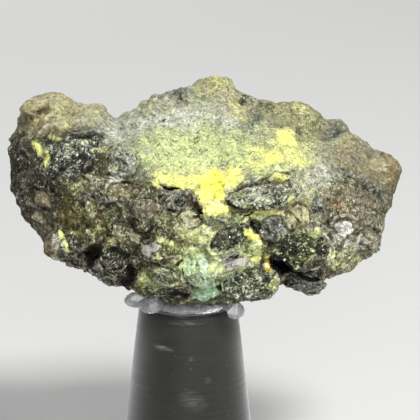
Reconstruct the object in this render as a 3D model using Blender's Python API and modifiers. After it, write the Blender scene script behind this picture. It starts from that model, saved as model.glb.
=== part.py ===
"""A pottsite specimen on its display stand.

The specimen is one lump of dark, coarse skarn. Its front carries a brow that slopes up to a ridge,
a steep face below the brow full of grains, and an undercut belly. A wad of clear putty holds it on a
plain tapered stand.

Metres, +Z up, +X to the right and -Y towards the viewer. The origin is the centre of the stand's foot.
"""

import math

import bmesh
import bpy
from mathutils import Matrix, Vector, noise
from mathutils.bvhtree import BVHTree

MM = 0.001

# Stand: a turned cone with its edges broken, all in millimetres.
STAND_HEIGHT = 24.0
STAND_TOP_RADIUS = 5.6
STAND_FOOT_RADIUS = 8.4
STAND_EDGE = 0.35
STAND_SIDES = 64

# Putty: a pad that the rock sits in. TOUCH_GAP is left between pieces that touch.
TOUCH_GAP = 0.3
PUTTY_PAD_RADIUS = 4.8
PUTTY_THICKNESS = 0.8
PUTTY_VOXEL = 0.3
PUTTY_TRIANGLES = 900

# Beads of putty squeezed out past the rim: centre and half sizes, from the stand's axis and top.
PUTTY_BEADS = {
    "left wing": ((-5.6, -2.0, 1.0), (1.5, 1.1, 0.6)),
    "left fold": ((-4.2, -3.8, 0.9), (1.2, 0.9, 0.8)),
    "right bead": ((5.1, -3.0, 0.1), (1.1, 0.9, 0.85)),
}

# Rock.
ROCK_FOOT = TOUCH_GAP + PUTTY_THICKNESS + TOUCH_GAP
ROCK_TRIANGLES = 7800
BODY_VOXEL = 0.42
SMOOTH_STEPS = 3


def ring(x, ridge, brow, chest, belly, keel, heel, back, nape):
    """One slice of the rock across X: its (y, z) corners from the ridge down the front and up the back."""
    return x, (ridge, brow, chest, belly, keel, heel, back, nape)


# Slices from the left end to the right, in millimetres from the stand's axis (X and Y) and top (Z).
SECTIONS = (
    ring(-20.0, (6, 20.3), (4, 19.4), (3, 17.0), (3, 13.2), (5, 11.2), (7, 11.6), (8, 13.6), (8, 18.4)),
    ring(-18.6, (6, 22.5), (3, 21.4), (0, 18.2), (1, 12.0), (4, 9.1), (7, 9.4), (10, 12.0), (9, 19.2)),
    ring(-16.2, (6, 23.6), (0, 19.6), (-3, 16.4), (-2, 9.3), (1, 5.9), (6, 6.4), (10, 10.0), (9, 19.6)),
    ring(-13.4, (5, 22.6), (-2, 20.5), (-6, 16.0), (-5, 8.3), (-1, 4.6), (6, 4.6), (11, 9.0), (10, 18.5)),
    ring(-10.5, (4, 22.2), (-3, 20.7), (-8, 15.9), (-7, 7.6), (-3, 3.8), (6, 3.4), (11, 8.0), (10, 18.0)),
    ring(-8.4, (3, 21.1), (-4, 19.7), (-9, 15.4), (-8, 7.0), (-4, 3.0), (6, 2.4), (12, 7.5), (10, 18.0)),
    ring(-5.4, (3, 22.9), (-6, 18.2), (-10, 14.0), (-9.5, 6.4), (-5, 2.6), (6, 1.6), (12, 7.0), (10, 18.5)),
    ring(-2.6, (4, 23.9), (-7.5, 16.4), (-10.5, 11.9), (-10, 5.8), (-5, 1.9), (6, 1.2), (12, 6.5), (11, 19)),
    ring(0.2, (5, 24.6), (-7.5, 15.2), (-10, 11.0), (-9.5, 5.4), (-5, 1.2), (6, 1.0), (12, 6.5), (11, 20.0)),
    ring(2.9, (6, 25.0), (-8, 14.8), (-10, 11.2), (-9.5, 5.6), (-5, 1.4), (6, 1.0), (12, 6.5), (11, 20.5)),
    ring(5.9, (6, 23.6), (-8, 15.8), (-10, 11.2), (-9, 4.8), (-5, 1.2), (6, 1.2), (12, 7.0), (11, 19.0)),
    ring(8.7, (6, 22.4), (-7, 16.8), (-9.5, 11.6), (-8.5, 5.3), (-4.5, 1.8), (5.5, 1.8), (11.5, 7), (11, 18)),
    ring(11.6, (6, 22.3), (-5, 17.4), (-8, 10.7), (-7, 6.2), (-3, 3.6), (5.5, 3.0), (11, 8.0), (10.5, 17.5)),
    ring(15.0, (6, 20.7), (-3, 15.5), (-6, 10.4), (-5, 5.6), (-1.5, 2.6), (5, 3.4), (10, 8.0), (10, 16.5)),
    ring(18.4, (6, 19.3), (-1, 13.6), (-3.5, 10.1), (-3, 6.0), (-0.5, 3.7), (5, 4.2), (9.5, 8.0), (9, 15.0)),
    ring(21.6, (6, 17.0), (2, 13.4), (0, 10.4), (0.5, 7.4), (2, 5.8), (5, 6.2), (8, 8.6), (8, 13.6)),
    ring(23.4, (6, 15.9), (4, 14.6), (3, 13), (3.5, 12), (4.5, 11.2), (6.5, 11.4), (7.5, 12.4), (7.5, 14.6)),
)
LEFT_TIP = (-20.7, 5.5, 16.8)
RIGHT_TIP = (24.5, 6.0, 14.1)

# Swellings of the outline: centre and half sizes, from the stand's axis and top.
SWELLINGS = {
    "left lobe": ((-15.9, 5.0, 20.9), (3.6, 4.0, 2.6)),
    "left knob": ((-10.3, 5.0, 20.9), (1.5, 2.5, 1.5)),
    "peak": ((2.8, 6.5, 22.0), (3.3, 3.5, 3.0)),
    "right hump": ((12.5, 6.0, 20.4), (2.9, 3.0, 2.0)),
    "right shoulder": ((16.5, 6.0, 18.1), (2.4, 3.0, 2.1)),
    "tip block": ((22.5, 6.0, 14.3), (1.9, 2.2, 2.0)),
    "back boss": ((-4.0, 10.5, 12.0), (5.0, 2.6, 4.5)),
    "back foot": ((8.0, 8.5, 7.0), (4.5, 3.6, 3.2)),
}


def grain(x, z, half_width, half_height, lean=0.0, proud=0.5, turn=0.0):
    """A grain in the front face: its place across the front, its half sizes, the lean of its long side
    in degrees, how much of its depth stands proud of the face, and its turn about Z."""
    return x, z, half_width, half_height, lean, proud, turn


GRAINS = {
    "round grain": grain(-7.4, 18.0, 2.1, 1.9, 0, 0.45),
    "block grain": grain(-0.7, 14.5, 1.6, 1.3, -8, 0.5, 20),
    "brown grain": grain(-4.3, 12.9, 1.9, 1.6, 10, 0.4, -15),
    "long grain": grain(8.3, 15.0, 3.4, 1.5, 14, 0.45),
    "oval grain": grain(4.5, 10.0, 2.4, 1.45, 35, 0.55),
    "dark lump": grain(12.8, 8.3, 3.5, 2.2, -10, 0.5, -25),
    "low chip": grain(13.1, 3.6, 2.4, 1.2, -8, 0.6, -15),
    "grey grain": grain(10.1, 11.6, 1.7, 1.3, -20, 0.4),
    "quartz grain": grain(-2.6, 8.4, 1.7, 1.3, 25, 0.45),
    "green grain": grain(1.9, 7.0, 2.2, 1.6, -12, 0.4),
    "low dark grain": grain(-1.9, 6.0, 1.5, 1.2, -15, 0.4),
    "right low grain": grain(5.4, 4.2, 2.2, 1.2, 10, 0.35),
    "low edge grain": grain(8.7, 4.7, 1.8, 1.3, 30, 0.4),
    "yellow bud": grain(2.6, 13.2, 1.6, 1.1, 15, 0.5),
    "left block": grain(-13.9, 8.4, 2.2, 1.8, 20, 0.4, 30),
    "low left grain": grain(-8.2, 7.0, 2.4, 1.7, -10, 0.35, 15),
    "crag": grain(-12.6, 18.2, 2.9, 1.7, 28, 0.35, 30),
    "end plate": grain(-17.6, 13.5, 1.7, 3.1, 0, 0.35, 60),
    "right flank": grain(17.8, 11.3, 2.4, 2.4, 15, 0.35, -35),
    "right foot": grain(20.0, 7.6, 1.6, 1.3, 25, 0.4, -40),
}


def pit(x, z, half_width, half_height, depth, lean=0.0):
    """A hollow pressed straight back into the front: its place, half sizes, depth and lean."""
    return x, z, half_width, half_height, depth, lean


PITS = {
    "cavity under the dark lump": pit(12.0, 5.4, 3.6, 0.9, 4.0, -22),
    "split beside the oval grain": pit(7.6, 11.0, 1.1, 0.45, 1.2, -50),
    "left hollow": pit(-10.8, 7.4, 1.3, 0.9, 2.0, 35),
    "hollow under the brown grain": pit(-4.4, 10.7, 1.4, 0.7, 1.0, 15),
    "seam over the block grain": pit(1.2, 13.4, 0.9, 0.4, 0.7, -55),
    "left end hole": pit(-17.9, 18.3, 0.6, 0.5, 0.9),
    "seam under the long grain": pit(8.0, 13.2, 2.8, 0.4, 0.6, 6),
    "seam left of the quartz": pit(-5.6, 8.6, 0.9, 1.1, 0.8, 40),
    "right face dent": pit(19.6, 13.0, 1.6, 0.8, 0.8, -30),
}

# Relief of the broken surface, coarse to fine: the size of one lump and how far it stands out.
FRACTURE = ((5.0, 0.50), (2.2, 0.32), (1.1, 0.16))
CRYSTAL_SIZE = 2.0
CRYSTAL_TILT = 0.8
SLOPE_RELIEF = 0.35


def clear_scene():
    for old in list(bpy.data.objects):
        bpy.data.objects.remove(old, do_unlink=True)


def new_collection(name):
    made = bpy.data.collections.new(name)
    bpy.context.scene.collection.children.link(made)
    return made


def finish(name, colour, roughness, metallic=0.0, alpha=1.0):
    """A Principled material with one colour."""
    made = bpy.data.materials.new(name)
    made.use_nodes = True
    shader = made.node_tree.nodes["Principled BSDF"]
    shader.inputs["Base Color"].default_value = (*colour, 1.0)
    shader.inputs["Roughness"].default_value = roughness
    shader.inputs["Metallic"].default_value = metallic
    shader.inputs["Alpha"].default_value = alpha
    return made


def object_of(name, mesh, collection, material=None):
    made = bpy.data.objects.new(name, mesh)
    collection.objects.link(made)
    if material:
        mesh.materials.append(material)
    return made


def evaluated_mesh(obj):
    """The object's mesh with its modifiers applied; the object itself is removed."""
    graph = bpy.context.evaluated_depsgraph_get()
    mesh = bpy.data.meshes.new_from_object(obj.evaluated_get(graph))
    bpy.data.objects.remove(obj, do_unlink=True)
    return mesh


def from_stand_top(x, y, z):
    """A point given in millimetres from the stand's axis and top, in metres from the foot."""
    return Vector((x, y, z + STAND_HEIGHT)) * MM


def loft_body(bm):
    """Quads between neighbouring rings, and a fan to the tip at each end."""
    rings = [
        [bm.verts.new(from_stand_top(x, y, z)) for y, z in corners]
        for x, corners in SECTIONS
    ]
    sides = len(rings[0])
    for here, onward in zip(rings, rings[1:]):
        for i in range(sides):
            j = (i + 1) % sides
            bm.faces.new((here[i], onward[i], onward[j], here[j]))
    for end, tip in ((rings[0], LEFT_TIP), (rings[-1], RIGHT_TIP)):
        point = bm.verts.new(from_stand_top(*tip))
        for i in range(sides):
            bm.faces.new((end[i], end[(i + 1) % sides], point))
    bmesh.ops.recalc_face_normals(bm, faces=bm.faces)


def add_blob(bm, centre, half_sizes, turn):
    """A chipped ellipsoid: an icosphere, stretched, turned and roughened so that its sides are uneven."""
    ball = bmesh.ops.create_icosphere(bm, subdivisions=3, radius=1.0)["verts"]
    stretch = Matrix.Diagonal((*half_sizes, 1.0))
    place = Matrix.Translation(centre) @ turn @ stretch
    for vert in ball:
        seat = centre / MM + vert.co * 1.3
        vert.co = place @ (vert.co * (1.0 + 0.16 * noise.noise(seat)))


def front_point(tree, x, z):
    """Where a line along +Y from the viewer's side meets the body's front."""
    start = from_stand_top(x, -40.0, z)
    hit = tree.ray_cast(start, Vector((0.0, 1.0, 0.0)))[0]
    return hit if hit else from_stand_top(x, 0.0, z)


def add_grains(bm):
    tree = BVHTree.FromBMesh(bm)
    for centre, half_sizes in SWELLINGS.values():
        add_blob(bm, from_stand_top(*centre), Vector(half_sizes) * MM, Matrix.Identity(4))
    for x, z, half_width, half_height, lean, proud, turn in GRAINS.values():
        depth = 0.5 * (half_width + half_height)
        seat = front_point(tree, x, z) + Vector((0.0, (1.0 - 2.0 * proud) * depth * MM, 0.0))
        half_sizes = Vector((half_width, depth, half_height)) * MM
        leaning = Matrix.Rotation(math.radians(turn), 4, "Z") @ Matrix.Rotation(math.radians(-lean), 4, "Y")
        add_blob(bm, seat, half_sizes, leaning)


def fused_body(collection):
    """Body and grains made one skin, with its corners a little worn."""
    bm = bmesh.new()
    loft_body(bm)
    add_grains(bm)
    mesh = bpy.data.meshes.new("body")
    bm.to_mesh(mesh)
    bm.free()
    body = object_of("body", mesh, collection)
    skin = body.modifiers.new("one skin", "REMESH")
    skin.mode = "VOXEL"
    skin.voxel_size = BODY_VOXEL * MM
    worn = body.modifiers.new("worn corners", "SMOOTH")
    worn.factor = 0.5
    worn.iterations = SMOOTH_STEPS
    return evaluated_mesh(body)


def press_pits(mesh):
    """Moves the front's points back into each pit, deepest at its middle."""
    for x, z, half_width, half_height, depth, lean in PITS.values():
        middle = from_stand_top(x, 0.0, z)
        unlean = Matrix.Rotation(math.radians(lean), 2)
        for vert in mesh.vertices:
            if vert.normal.y > -0.1:
                continue
            across = unlean @ Vector((vert.co.x - middle.x, middle.z - vert.co.z))
            reach = (across.x / (half_width * MM)) ** 2 + (across.y / (half_height * MM)) ** 2
            if reach < 1.0:
                vert.co.y += depth * MM * (1.0 - reach) ** 1.5
    mesh.update()


def crystal_relief(point):
    """Tilted flat facets, one to each cell of a random pattern, in millimetres."""
    middle = noise.voronoi(point / CRYSTAL_SIZE)[1][0]
    slope = noise.cell_vector(middle * 7.3) - Vector((0.5, 0.5, 0.5))
    return CRYSTAL_TILT * (point / CRYSTAL_SIZE - middle).dot(slope)


def roughness_of(normal):
    """Full relief on the broken faces, less on the dusted slope that looks up and to the front."""
    up = min(max((normal.z - 0.25) / 0.45, 0.0), 1.0)
    facing = min(max(0.5 - normal.y, 0.0), 1.0)
    return 1.0 - (1.0 - SLOPE_RELIEF) * up * facing


def roughen(mesh):
    """Pushes every point in or out by the fracture's lumps and by the crystals' facets."""
    normals = [vert.normal.copy() for vert in mesh.vertices]
    for vert, normal in zip(mesh.vertices, normals):
        point = vert.co / MM
        height = sum(rise * noise.noise(point / size) for size, rise in FRACTURE)
        height += crystal_relief(point)
        vert.co += normal * height * roughness_of(normal) * MM
    mesh.update()


def seat_on_putty(mesh):
    """Keeps the underside clear of the putty, where the rock has bedded into it."""
    lowest = (STAND_HEIGHT + ROCK_FOOT) * MM
    for vert in mesh.vertices:
        vert.co.z = max(vert.co.z, lowest)
    mesh.update()


def make_rock(collection):
    mesh = fused_body(collection)
    press_pits(mesh)
    roughen(mesh)
    seat_on_putty(mesh)
    mesh.name = "rock"
    rock = object_of("rock", mesh, collection, finish("skarn", (0.20, 0.19, 0.14), 0.8))
    thin = rock.modifiers.new("fewer faces", "DECIMATE")
    thin.ratio = ROCK_TRIANGLES / (2.0 * len(mesh.polygons))
    return rock


def make_stand(collection):
    """A turned cone: the profile runs down the outer side and is closed on the axis."""
    run = STAND_FOOT_RADIUS - STAND_TOP_RADIUS
    lean = Vector((run, -STAND_HEIGHT)).normalized() * STAND_EDGE
    profile = (
        (0.0, STAND_HEIGHT),
        (STAND_TOP_RADIUS - STAND_EDGE, STAND_HEIGHT),
        (STAND_TOP_RADIUS + lean.x, STAND_HEIGHT + lean.y),
        (STAND_FOOT_RADIUS - lean.x, -lean.y),
        (STAND_FOOT_RADIUS - STAND_EDGE, 0.0),
        (0.0, 0.0),
    )
    mesh = bpy.data.meshes.new("stand")
    points = [(radius * MM, 0.0, height * MM) for radius, height in profile]
    mesh.from_pydata(points, [(i, i + 1) for i in range(len(points) - 1)], [])
    frosted = finish("frosted acrylic", (0.30, 0.30, 0.29), 0.5, 0.0, 0.6)
    stand = object_of("stand", mesh, collection, frosted)
    turned = stand.modifiers.new("turned", "SCREW")
    turned.steps = STAND_SIDES
    turned.render_steps = STAND_SIDES
    turned.use_merge_vertices = True
    turned.merge_threshold = 0.01 * MM
    turned.use_normal_calculate = True
    return stand


def stand_and_gap(collection):
    """A cutter: the stand's cone grown by the touching gap on every side."""
    bpy.ops.mesh.primitive_cone_add(
        vertices=STAND_SIDES,
        radius1=(STAND_FOOT_RADIUS + TOUCH_GAP) * MM,
        radius2=(STAND_TOP_RADIUS + TOUCH_GAP) * MM,
        depth=(STAND_HEIGHT + TOUCH_GAP) * MM,
        location=(0.0, 0.0, 0.5 * (STAND_HEIGHT + TOUCH_GAP) * MM),
    )
    cutter = bpy.context.object
    cutter.name = "stand and gap"
    cutter.hide_render = True
    cutter.display_type = "WIRE"
    for holder in list(cutter.users_collection):
        holder.objects.unlink(cutter)
    collection.objects.link(cutter)
    return cutter


def make_putty(collection, cutters):
    """One wad: a low pad on the stand's top, with the beads that hang over its rim."""
    bm = bmesh.new()
    pad_centre = from_stand_top(0.0, 0.0, TOUCH_GAP)
    pad_half_sizes = Vector((PUTTY_PAD_RADIUS, PUTTY_PAD_RADIUS, 1.3 * PUTTY_THICKNESS)) * MM
    add_blob(bm, pad_centre, pad_half_sizes, Matrix.Identity(4))
    for vert in bm.verts:
        vert.co.z = min(vert.co.z, (STAND_HEIGHT + TOUCH_GAP + PUTTY_THICKNESS) * MM)
    for centre, half_sizes in PUTTY_BEADS.values():
        add_blob(bm, from_stand_top(*centre), Vector(half_sizes) * MM, Matrix.Identity(4))
    mesh = bpy.data.meshes.new("wad")
    bm.to_mesh(mesh)
    bm.free()
    wad = object_of("wad", mesh, collection)
    skin = wad.modifiers.new("one skin", "REMESH")
    skin.mode = "VOXEL"
    skin.voxel_size = PUTTY_VOXEL * MM
    mesh = evaluated_mesh(wad)
    mesh.name = "putty"
    mesh.shade_smooth()
    clear = finish("clear putty", (0.75, 0.76, 0.77), 0.3, 0.0, 0.7)
    putty = object_of("putty", mesh, collection, clear)
    thin = putty.modifiers.new("fewer faces", "DECIMATE")
    thin.ratio = PUTTY_TRIANGLES / (2.0 * len(mesh.polygons))
    bedded = putty.modifiers.new("bedded on the stand", "BOOLEAN")
    bedded.operation = "DIFFERENCE"
    bedded.object = stand_and_gap(cutters)
    return putty


def main():
    clear_scene()
    specimen = new_collection("pottsite specimen")
    cutters = new_collection("cutters")
    make_rock(specimen)
    make_putty(specimen, cutters)
    make_stand(specimen)


main()
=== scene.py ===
# %% [markdown]
# # A pottsite specimen on its stand
#
# A hand-sized display piece: one rough lump of dark skarn, a rock full of small iron and garnet
# grains, with a crust of lemon-yellow pottsite over its brow. Clear putty holds it on a turned,
# frosted acrylic stand.
#
# The packed model gives the true shape and size of the three pieces. This script keeps that shape
# and adds what is too fine for it: the grain of the rock, the crusts, the crystals, the putty's
# shine and the tool marks of the stand.

# %% Load the packed model
import math
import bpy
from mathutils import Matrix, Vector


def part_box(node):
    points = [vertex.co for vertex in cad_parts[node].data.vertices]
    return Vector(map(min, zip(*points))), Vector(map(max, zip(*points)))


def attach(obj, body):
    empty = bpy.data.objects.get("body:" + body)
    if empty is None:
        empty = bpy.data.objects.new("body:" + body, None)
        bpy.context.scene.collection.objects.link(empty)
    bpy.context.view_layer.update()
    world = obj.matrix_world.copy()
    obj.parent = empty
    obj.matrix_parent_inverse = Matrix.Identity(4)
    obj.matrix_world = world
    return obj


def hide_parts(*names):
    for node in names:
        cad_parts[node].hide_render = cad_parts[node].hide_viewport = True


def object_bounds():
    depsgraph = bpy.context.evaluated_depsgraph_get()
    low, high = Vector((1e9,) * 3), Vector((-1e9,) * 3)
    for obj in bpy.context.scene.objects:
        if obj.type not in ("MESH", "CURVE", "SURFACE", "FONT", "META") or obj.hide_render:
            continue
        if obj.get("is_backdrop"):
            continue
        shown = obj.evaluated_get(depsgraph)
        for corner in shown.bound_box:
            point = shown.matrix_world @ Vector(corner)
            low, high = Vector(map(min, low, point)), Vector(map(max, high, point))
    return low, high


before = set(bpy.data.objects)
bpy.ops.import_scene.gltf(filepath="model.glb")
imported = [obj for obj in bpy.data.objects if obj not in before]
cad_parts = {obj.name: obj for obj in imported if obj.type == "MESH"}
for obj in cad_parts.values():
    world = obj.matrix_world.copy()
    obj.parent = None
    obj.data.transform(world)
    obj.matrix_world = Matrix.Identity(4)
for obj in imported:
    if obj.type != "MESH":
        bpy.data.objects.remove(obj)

from types import SimpleNamespace
from typing import NamedTuple

import bmesh
import bpy
import numpy as np
from mathutils import Matrix, Vector, noise
from mathutils.bvhtree import BVHTree

CAD_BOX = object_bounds()
MM = 0.001
for node in sorted(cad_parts):
    low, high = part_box(node)
    print(node, "is", [round(side / MM, 1) for side in high - low], "mm")

# %% [markdown]
# ## The camera first
#
# Features of a natural thing have no drawing to be measured from, so they are placed as they show to
# the camera. The camera is made first, and two helpers turn a place in its 420 pixel frame into a
# place on the rock and back. The lens is long, as for close-up work, which keeps the proportions
# calm.

# %% Camera
FRAME_PIXELS = 420
PIXEL = 0.1134 * MM
SENSOR_WIDTH = 36.0
CAMERA_DISTANCE = 0.300
CAMERA_ELEVATION = math.radians(14.0)
LOOK_AT = Vector((0.0025, 0.0, 0.0350))
RIGHT = Vector((1.0, 0.0, 0.0))
TOWARDS = Vector((0.0, -math.cos(CAMERA_ELEVATION), math.sin(CAMERA_ELEVATION)))
UP = TOWARDS.cross(RIGHT)
EYE = LOOK_AT + TOWARDS * CAMERA_DISTANCE


def placed(name, data):
    """A new object in the scene for this camera, lamp or mesh."""
    made = bpy.data.objects.new(name, data)
    bpy.context.scene.collection.objects.link(made)
    return made


def aim(obj, direction):
    """Turns a camera or a lamp to look this way, with its top upwards."""
    obj.rotation_mode = "QUATERNION"
    obj.rotation_quaternion = direction.to_track_quat("-Z", "Y")


camera = placed("camera", bpy.data.cameras.new("camera"))
bpy.context.scene.camera = camera
camera.data.sensor_width = SENSOR_WIDTH
camera.data.lens = SENSOR_WIDTH * CAMERA_DISTANCE / (FRAME_PIXELS * PIXEL)
camera.data.clip_start = 0.01
camera.data.clip_end = 10.0
camera.location = EYE
aim(camera, -TOWARDS)
print("lens", round(camera.data.lens), "mm at", CAMERA_DISTANCE, "m")


# %% Between the frame and the rock
def to_pixels(points):
    """Frame coordinates and depth of an array of points: x to the right, y down, depth in metres."""
    offset = points - np.array(EYE)
    depth = -offset @ np.array(TOWARDS)
    scale = CAMERA_DISTANCE / (depth * PIXEL)
    x = 0.5 * FRAME_PIXELS + (offset @ np.array(RIGHT)) * scale
    y = 0.5 * FRAME_PIXELS - (offset @ np.array(UP)) * scale
    return x, y, depth


def sight_line(x, y):
    """Unit vector from the eye through a place in the frame."""
    reach = RIGHT * (x - 0.5 * FRAME_PIXELS) * PIXEL - UP * (y - 0.5 * FRAME_PIXELS) * PIXEL
    return (reach - TOWARDS * CAMERA_DISTANCE).normalized()


x, y, depth = to_pixels(np.array([(0.0, 0.0, 0.0)]))
print("the middle of the foot is at", round(x[0]), round(y[0]), "in the frame")

# %% [markdown]
# ## The rock's skin
#
# The packed rock is a shell of large facets. A voxel remesh turns it into an even net of points about
# a fifth of a millimetre apart, close enough to carry the grain of the stone as real shape. Remeshing
# is the sculptor's way: it does not care how the facets ran before.

# %% Fine net over the packed rock
SKIN_VOXEL = 0.205 * MM
WELD_REACH = 0.001 * MM


def finished(bm, name):
    """The edited shape as a mesh of that name."""
    mesh = bpy.data.meshes.new(name)
    bm.to_mesh(mesh)
    bm.free()
    return mesh


def plain_mesh(obj, name):
    """The object's mesh with its modifiers applied. The object is removed."""
    graph = bpy.context.evaluated_depsgraph_get()
    mesh = bpy.data.meshes.new_from_object(obj.evaluated_get(graph))
    mesh.name = name
    bpy.data.objects.remove(obj, do_unlink=True)
    return mesh


def remeshed(node, name, voxel, smoothing):
    """An even, slightly worn net over a packed node. Its loose triangles are joined first."""
    bm = bmesh.new()
    bm.from_mesh(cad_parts[node].data)
    bmesh.ops.remove_doubles(bm, verts=bm.verts, dist=WELD_REACH)
    shell = placed(name, finished(bm, name))
    net = shell.modifiers.new("even net", "REMESH")
    net.mode = "VOXEL"
    net.voxel_size = voxel
    worn = shell.modifiers.new("worn", "SMOOTH")
    worn.factor = 0.5
    worn.iterations = smoothing
    return plain_mesh(shell, name)


rock_mesh = remeshed("rock", "skarn_rock", SKIN_VOXEL, smoothing=2)
print("rock net:", len(rock_mesh.vertices), "points,", len(rock_mesh.polygons), "faces")


# %% Read and write points as arrays
def triples(items, key):
    """One vector of every item, as the rows of an array."""
    flat = np.empty(3 * len(items), np.float32)
    items.foreach_get(key, flat)
    return flat.reshape(-1, 3).astype(float)


def points_of(mesh):
    return triples(mesh.vertices, "co")


def normals_of(mesh):
    return triples(mesh.vertex_normals, "vector")


def move_points(mesh, points):
    mesh.vertices.foreach_set("co", points.astype(np.float32).ravel())
    mesh.update()


def averaged(mesh, values, rounds):
    """Values at the points, blended with their neighbours' a number of times."""
    edges = np.empty(2 * len(mesh.edges), np.int32)
    mesh.edges.foreach_get("vertices", edges)
    a, b = edges.reshape(-1, 2).T
    count = len(mesh.vertices)
    degree = np.bincount(a, minlength=count) + np.bincount(b, minlength=count)
    columns = values.reshape(count, -1).copy()
    for _ in range(rounds):
        for column in columns.T:
            total = np.bincount(a, column[b], count) + np.bincount(b, column[a], count)
            column[:] = 0.5 * column + 0.5 * total / np.maximum(degree, 1)
    return columns.reshape(values.shape)


print("highest point of the rock at", round(points_of(rock_mesh)[:, 2].max() / MM, 1), "mm")

# %% The place on the rock under a place in the frame
rock_tree = BVHTree.FromPolygons(
    [Vector(p) for p in points_of(rock_mesh)], [list(f.vertices) for f in rock_mesh.polygons]
)


def turned(side):
    """A turn about the upright, in degrees: 0 is the front, 90 the right side and 180 the back."""
    return Matrix.Rotation(math.radians(side), 3, "Z")


def seen_from(points, side):
    """The points turned so that this side of the specimen faces the camera."""
    return (points - np.array(LOOK_AT)) @ np.array(turned(side)) + np.array(LOOK_AT)


def on_rock(x, y, side=0):
    """The place on the rock that shows at a place in the frame, seen from one of its sides."""
    spin = turned(side)
    eye = LOOK_AT + spin @ (EYE - LOOK_AT)
    sight = spin @ sight_line(x, y)
    hit = rock_tree.ray_cast(eye, sight)[0]
    return hit if hit else eye + sight * CAMERA_DISTANCE


middle = on_rock(0.5 * FRAME_PIXELS, 0.5 * FRAME_PIXELS)
print("the middle of the frame is on the rock at", [round(c / MM, 1) for c in middle], "mm")

# %% [markdown]
# ## Where each mineral sits
#
# The rock is painted the way a geologist sketches it: patches of each mineral, laid down by place,
# size and lean. A patch is only a soft share between 0 and 1. Later the material breaks that share up
# with fine noise, so that a half share reads as grains scattered over the host and not as a tint.
#
# Each patch reaches a few millimetres in depth from the place where it is seen, and its edge is
# bent by noise, so nothing reads as an ellipse. A patch that rises to the right has a positive lean.


# %% A patch of paint
class Patch(NamedTuple):
    """A soft oval: its place and half sizes in frame pixels, its lean in degrees and its share."""

    kind: str
    x: float
    y: float
    half_width: float
    half_height: float
    lean: float = 0.0
    share: float = 1.0
    soft: float = 0.35


def patches(kind, *ovals):
    """Patches of one kind, each given as a row of its numbers."""
    return [Patch(kind, *oval) for oval in ovals]


def by_kind(*groups):
    return {group[0].kind: group for group in groups}


print("a patch has", ", ".join(Patch._fields))

# %% Lemon and lime crusts, and the mint crystals low down
LEMON = patches(
    "lemon",
    (180, 182, 30, 14, -6, 0.66, 0.5), (163, 178, 12, 10, 0, 0.56, 0.5), (158, 186, 7, 6, 20, 0.62, 0.5),
    (214, 187, 15, 16, 0, 1.1, 0.45), (201, 181, 16, 9, 0, 0.8, 0.5), (233, 176, 14, 10, 10, 0.74, 0.5),
    (215, 211, 15, 9, 10, 0.72), (207, 198, 10, 10, 0, 0.85, 0.4), (195, 170, 42, 14, 0, 0.42, 0.7),
    (289, 148, 26, 19, -20, 0.58, 0.6), (287, 140, 14, 11, 10, 0.78, 0.8),
    (302, 158, 14, 11, -10, 0.62, 0.8), (271, 159, 14, 6, 8, 0.84, 0.7), (262, 152, 18, 9, -12, 0.58, 0.7),
    (299, 104, 11, 4, -20, 0.46, 0.5), (213, 78, 9, 5, 0, 0.42, 0.5), (256, 163, 28, 8, 5, 0.6, 0.7),
    (238, 109, 17, 9, -42, 0.46, 0.8), (143, 157, 9, 6, 10, 0.5, 0.6), (260, 213, 20, 4, 3, 0.78, 0.4),
    (278, 178, 7, 4, 15, 0.7, 0.4), (292, 201, 4.5, 8, -22, 0.46), (62.5, 233, 2.6, 6, 12, 0.84),
    (36, 147, 3.5, 11, 12, 0.66), (46, 160, 9, 3, -48, 0.62), (98, 151, 5, 5, 0, 0.42),
    (160, 257, 7, 5, 15, 0.42), (195, 240, 12, 9, -20, 0.46, 0.6), (252, 236, 8, 4, -35, 0.8),
    (254, 260, 7, 5, 0, 0.6), (250, 235, 8, 5, -20, 0.7, 0.5), (262, 253, 4.5, 18, 27, 0.62, 0.5),
    (210, 241, 10, 6, 0, 0.4), (268, 262, 4.5, 12, 18), (314, 246, 8, 7, 20, 0.4),
    (340, 268, 8, 5, 20, 0.38), (235, 262, 16, 5, 12, 0.4),
)
LIME = patches(
    "lime",
    (190, 150, 60, 26, 2, 0.62, 0.5), (160, 140, 28, 15, 8, 0.55, 0.5), (235, 150, 34, 22, 0, 0.6, 0.5),
    (214, 128, 44, 16, 0, 0.4, 0.6), (285, 150, 30, 26, 0, 0.5, 0.5), (270, 170, 30, 10, 5, 0.6),
    (220, 82, 18, 9, 0, 0.42, 0.6), (268, 132, 22, 12, 0, 0.4, 0.6), (195, 228, 16, 16, 0, 0.55),
    (200, 262, 24, 20, 10, 0.6), (53, 138, 8, 4, 30, 0.72), (42, 153, 5, 14, 28, 0.5),
    (63, 136, 6, 3, 20, 0.5), (77, 190, 14, 8, 0, 0.35), (160, 212, 22, 16, 0, 0.38),
    (255, 217, 26, 8, 0, 0.62), (308, 235, 18, 6, -5, 0.72), (300, 258, 24, 12, 0, 0.48),
    (245, 292, 26, 8, 5, 0.5), (262, 282, 20, 12, 0, 0.58), (345, 260, 20, 14, 20, 0.42),
    (100, 225, 40, 30, 0, 0.24), (115, 240, 6, 4, 10, 0.8), (147, 279, 10, 11, 0, 0.5),
    (160, 284, 22, 8, -10, 0.5), (66, 243, 3, 7, 22, 0.8), (188, 232, 14, 9, -20, 0.6),
    (176, 262, 8, 7, 0, 0.6), (166, 243, 14, 4, -28, 0.55), (236, 271, 12, 4, 4, 0.8),
    (310, 130, 14, 24, 10, 0.36), (306, 190, 14, 16, 10, 0.4), (60, 112, 46, 16, 5, 0.25, 0.6),
    (210, 240, 12, 10, 0, 0.66), (332, 256, 10, 8, 20, 0.6), (256, 248, 8, 13, 20, 0.66),
    (80, 143, 22, 6, 30, 0.3, 0.6),
)
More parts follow.
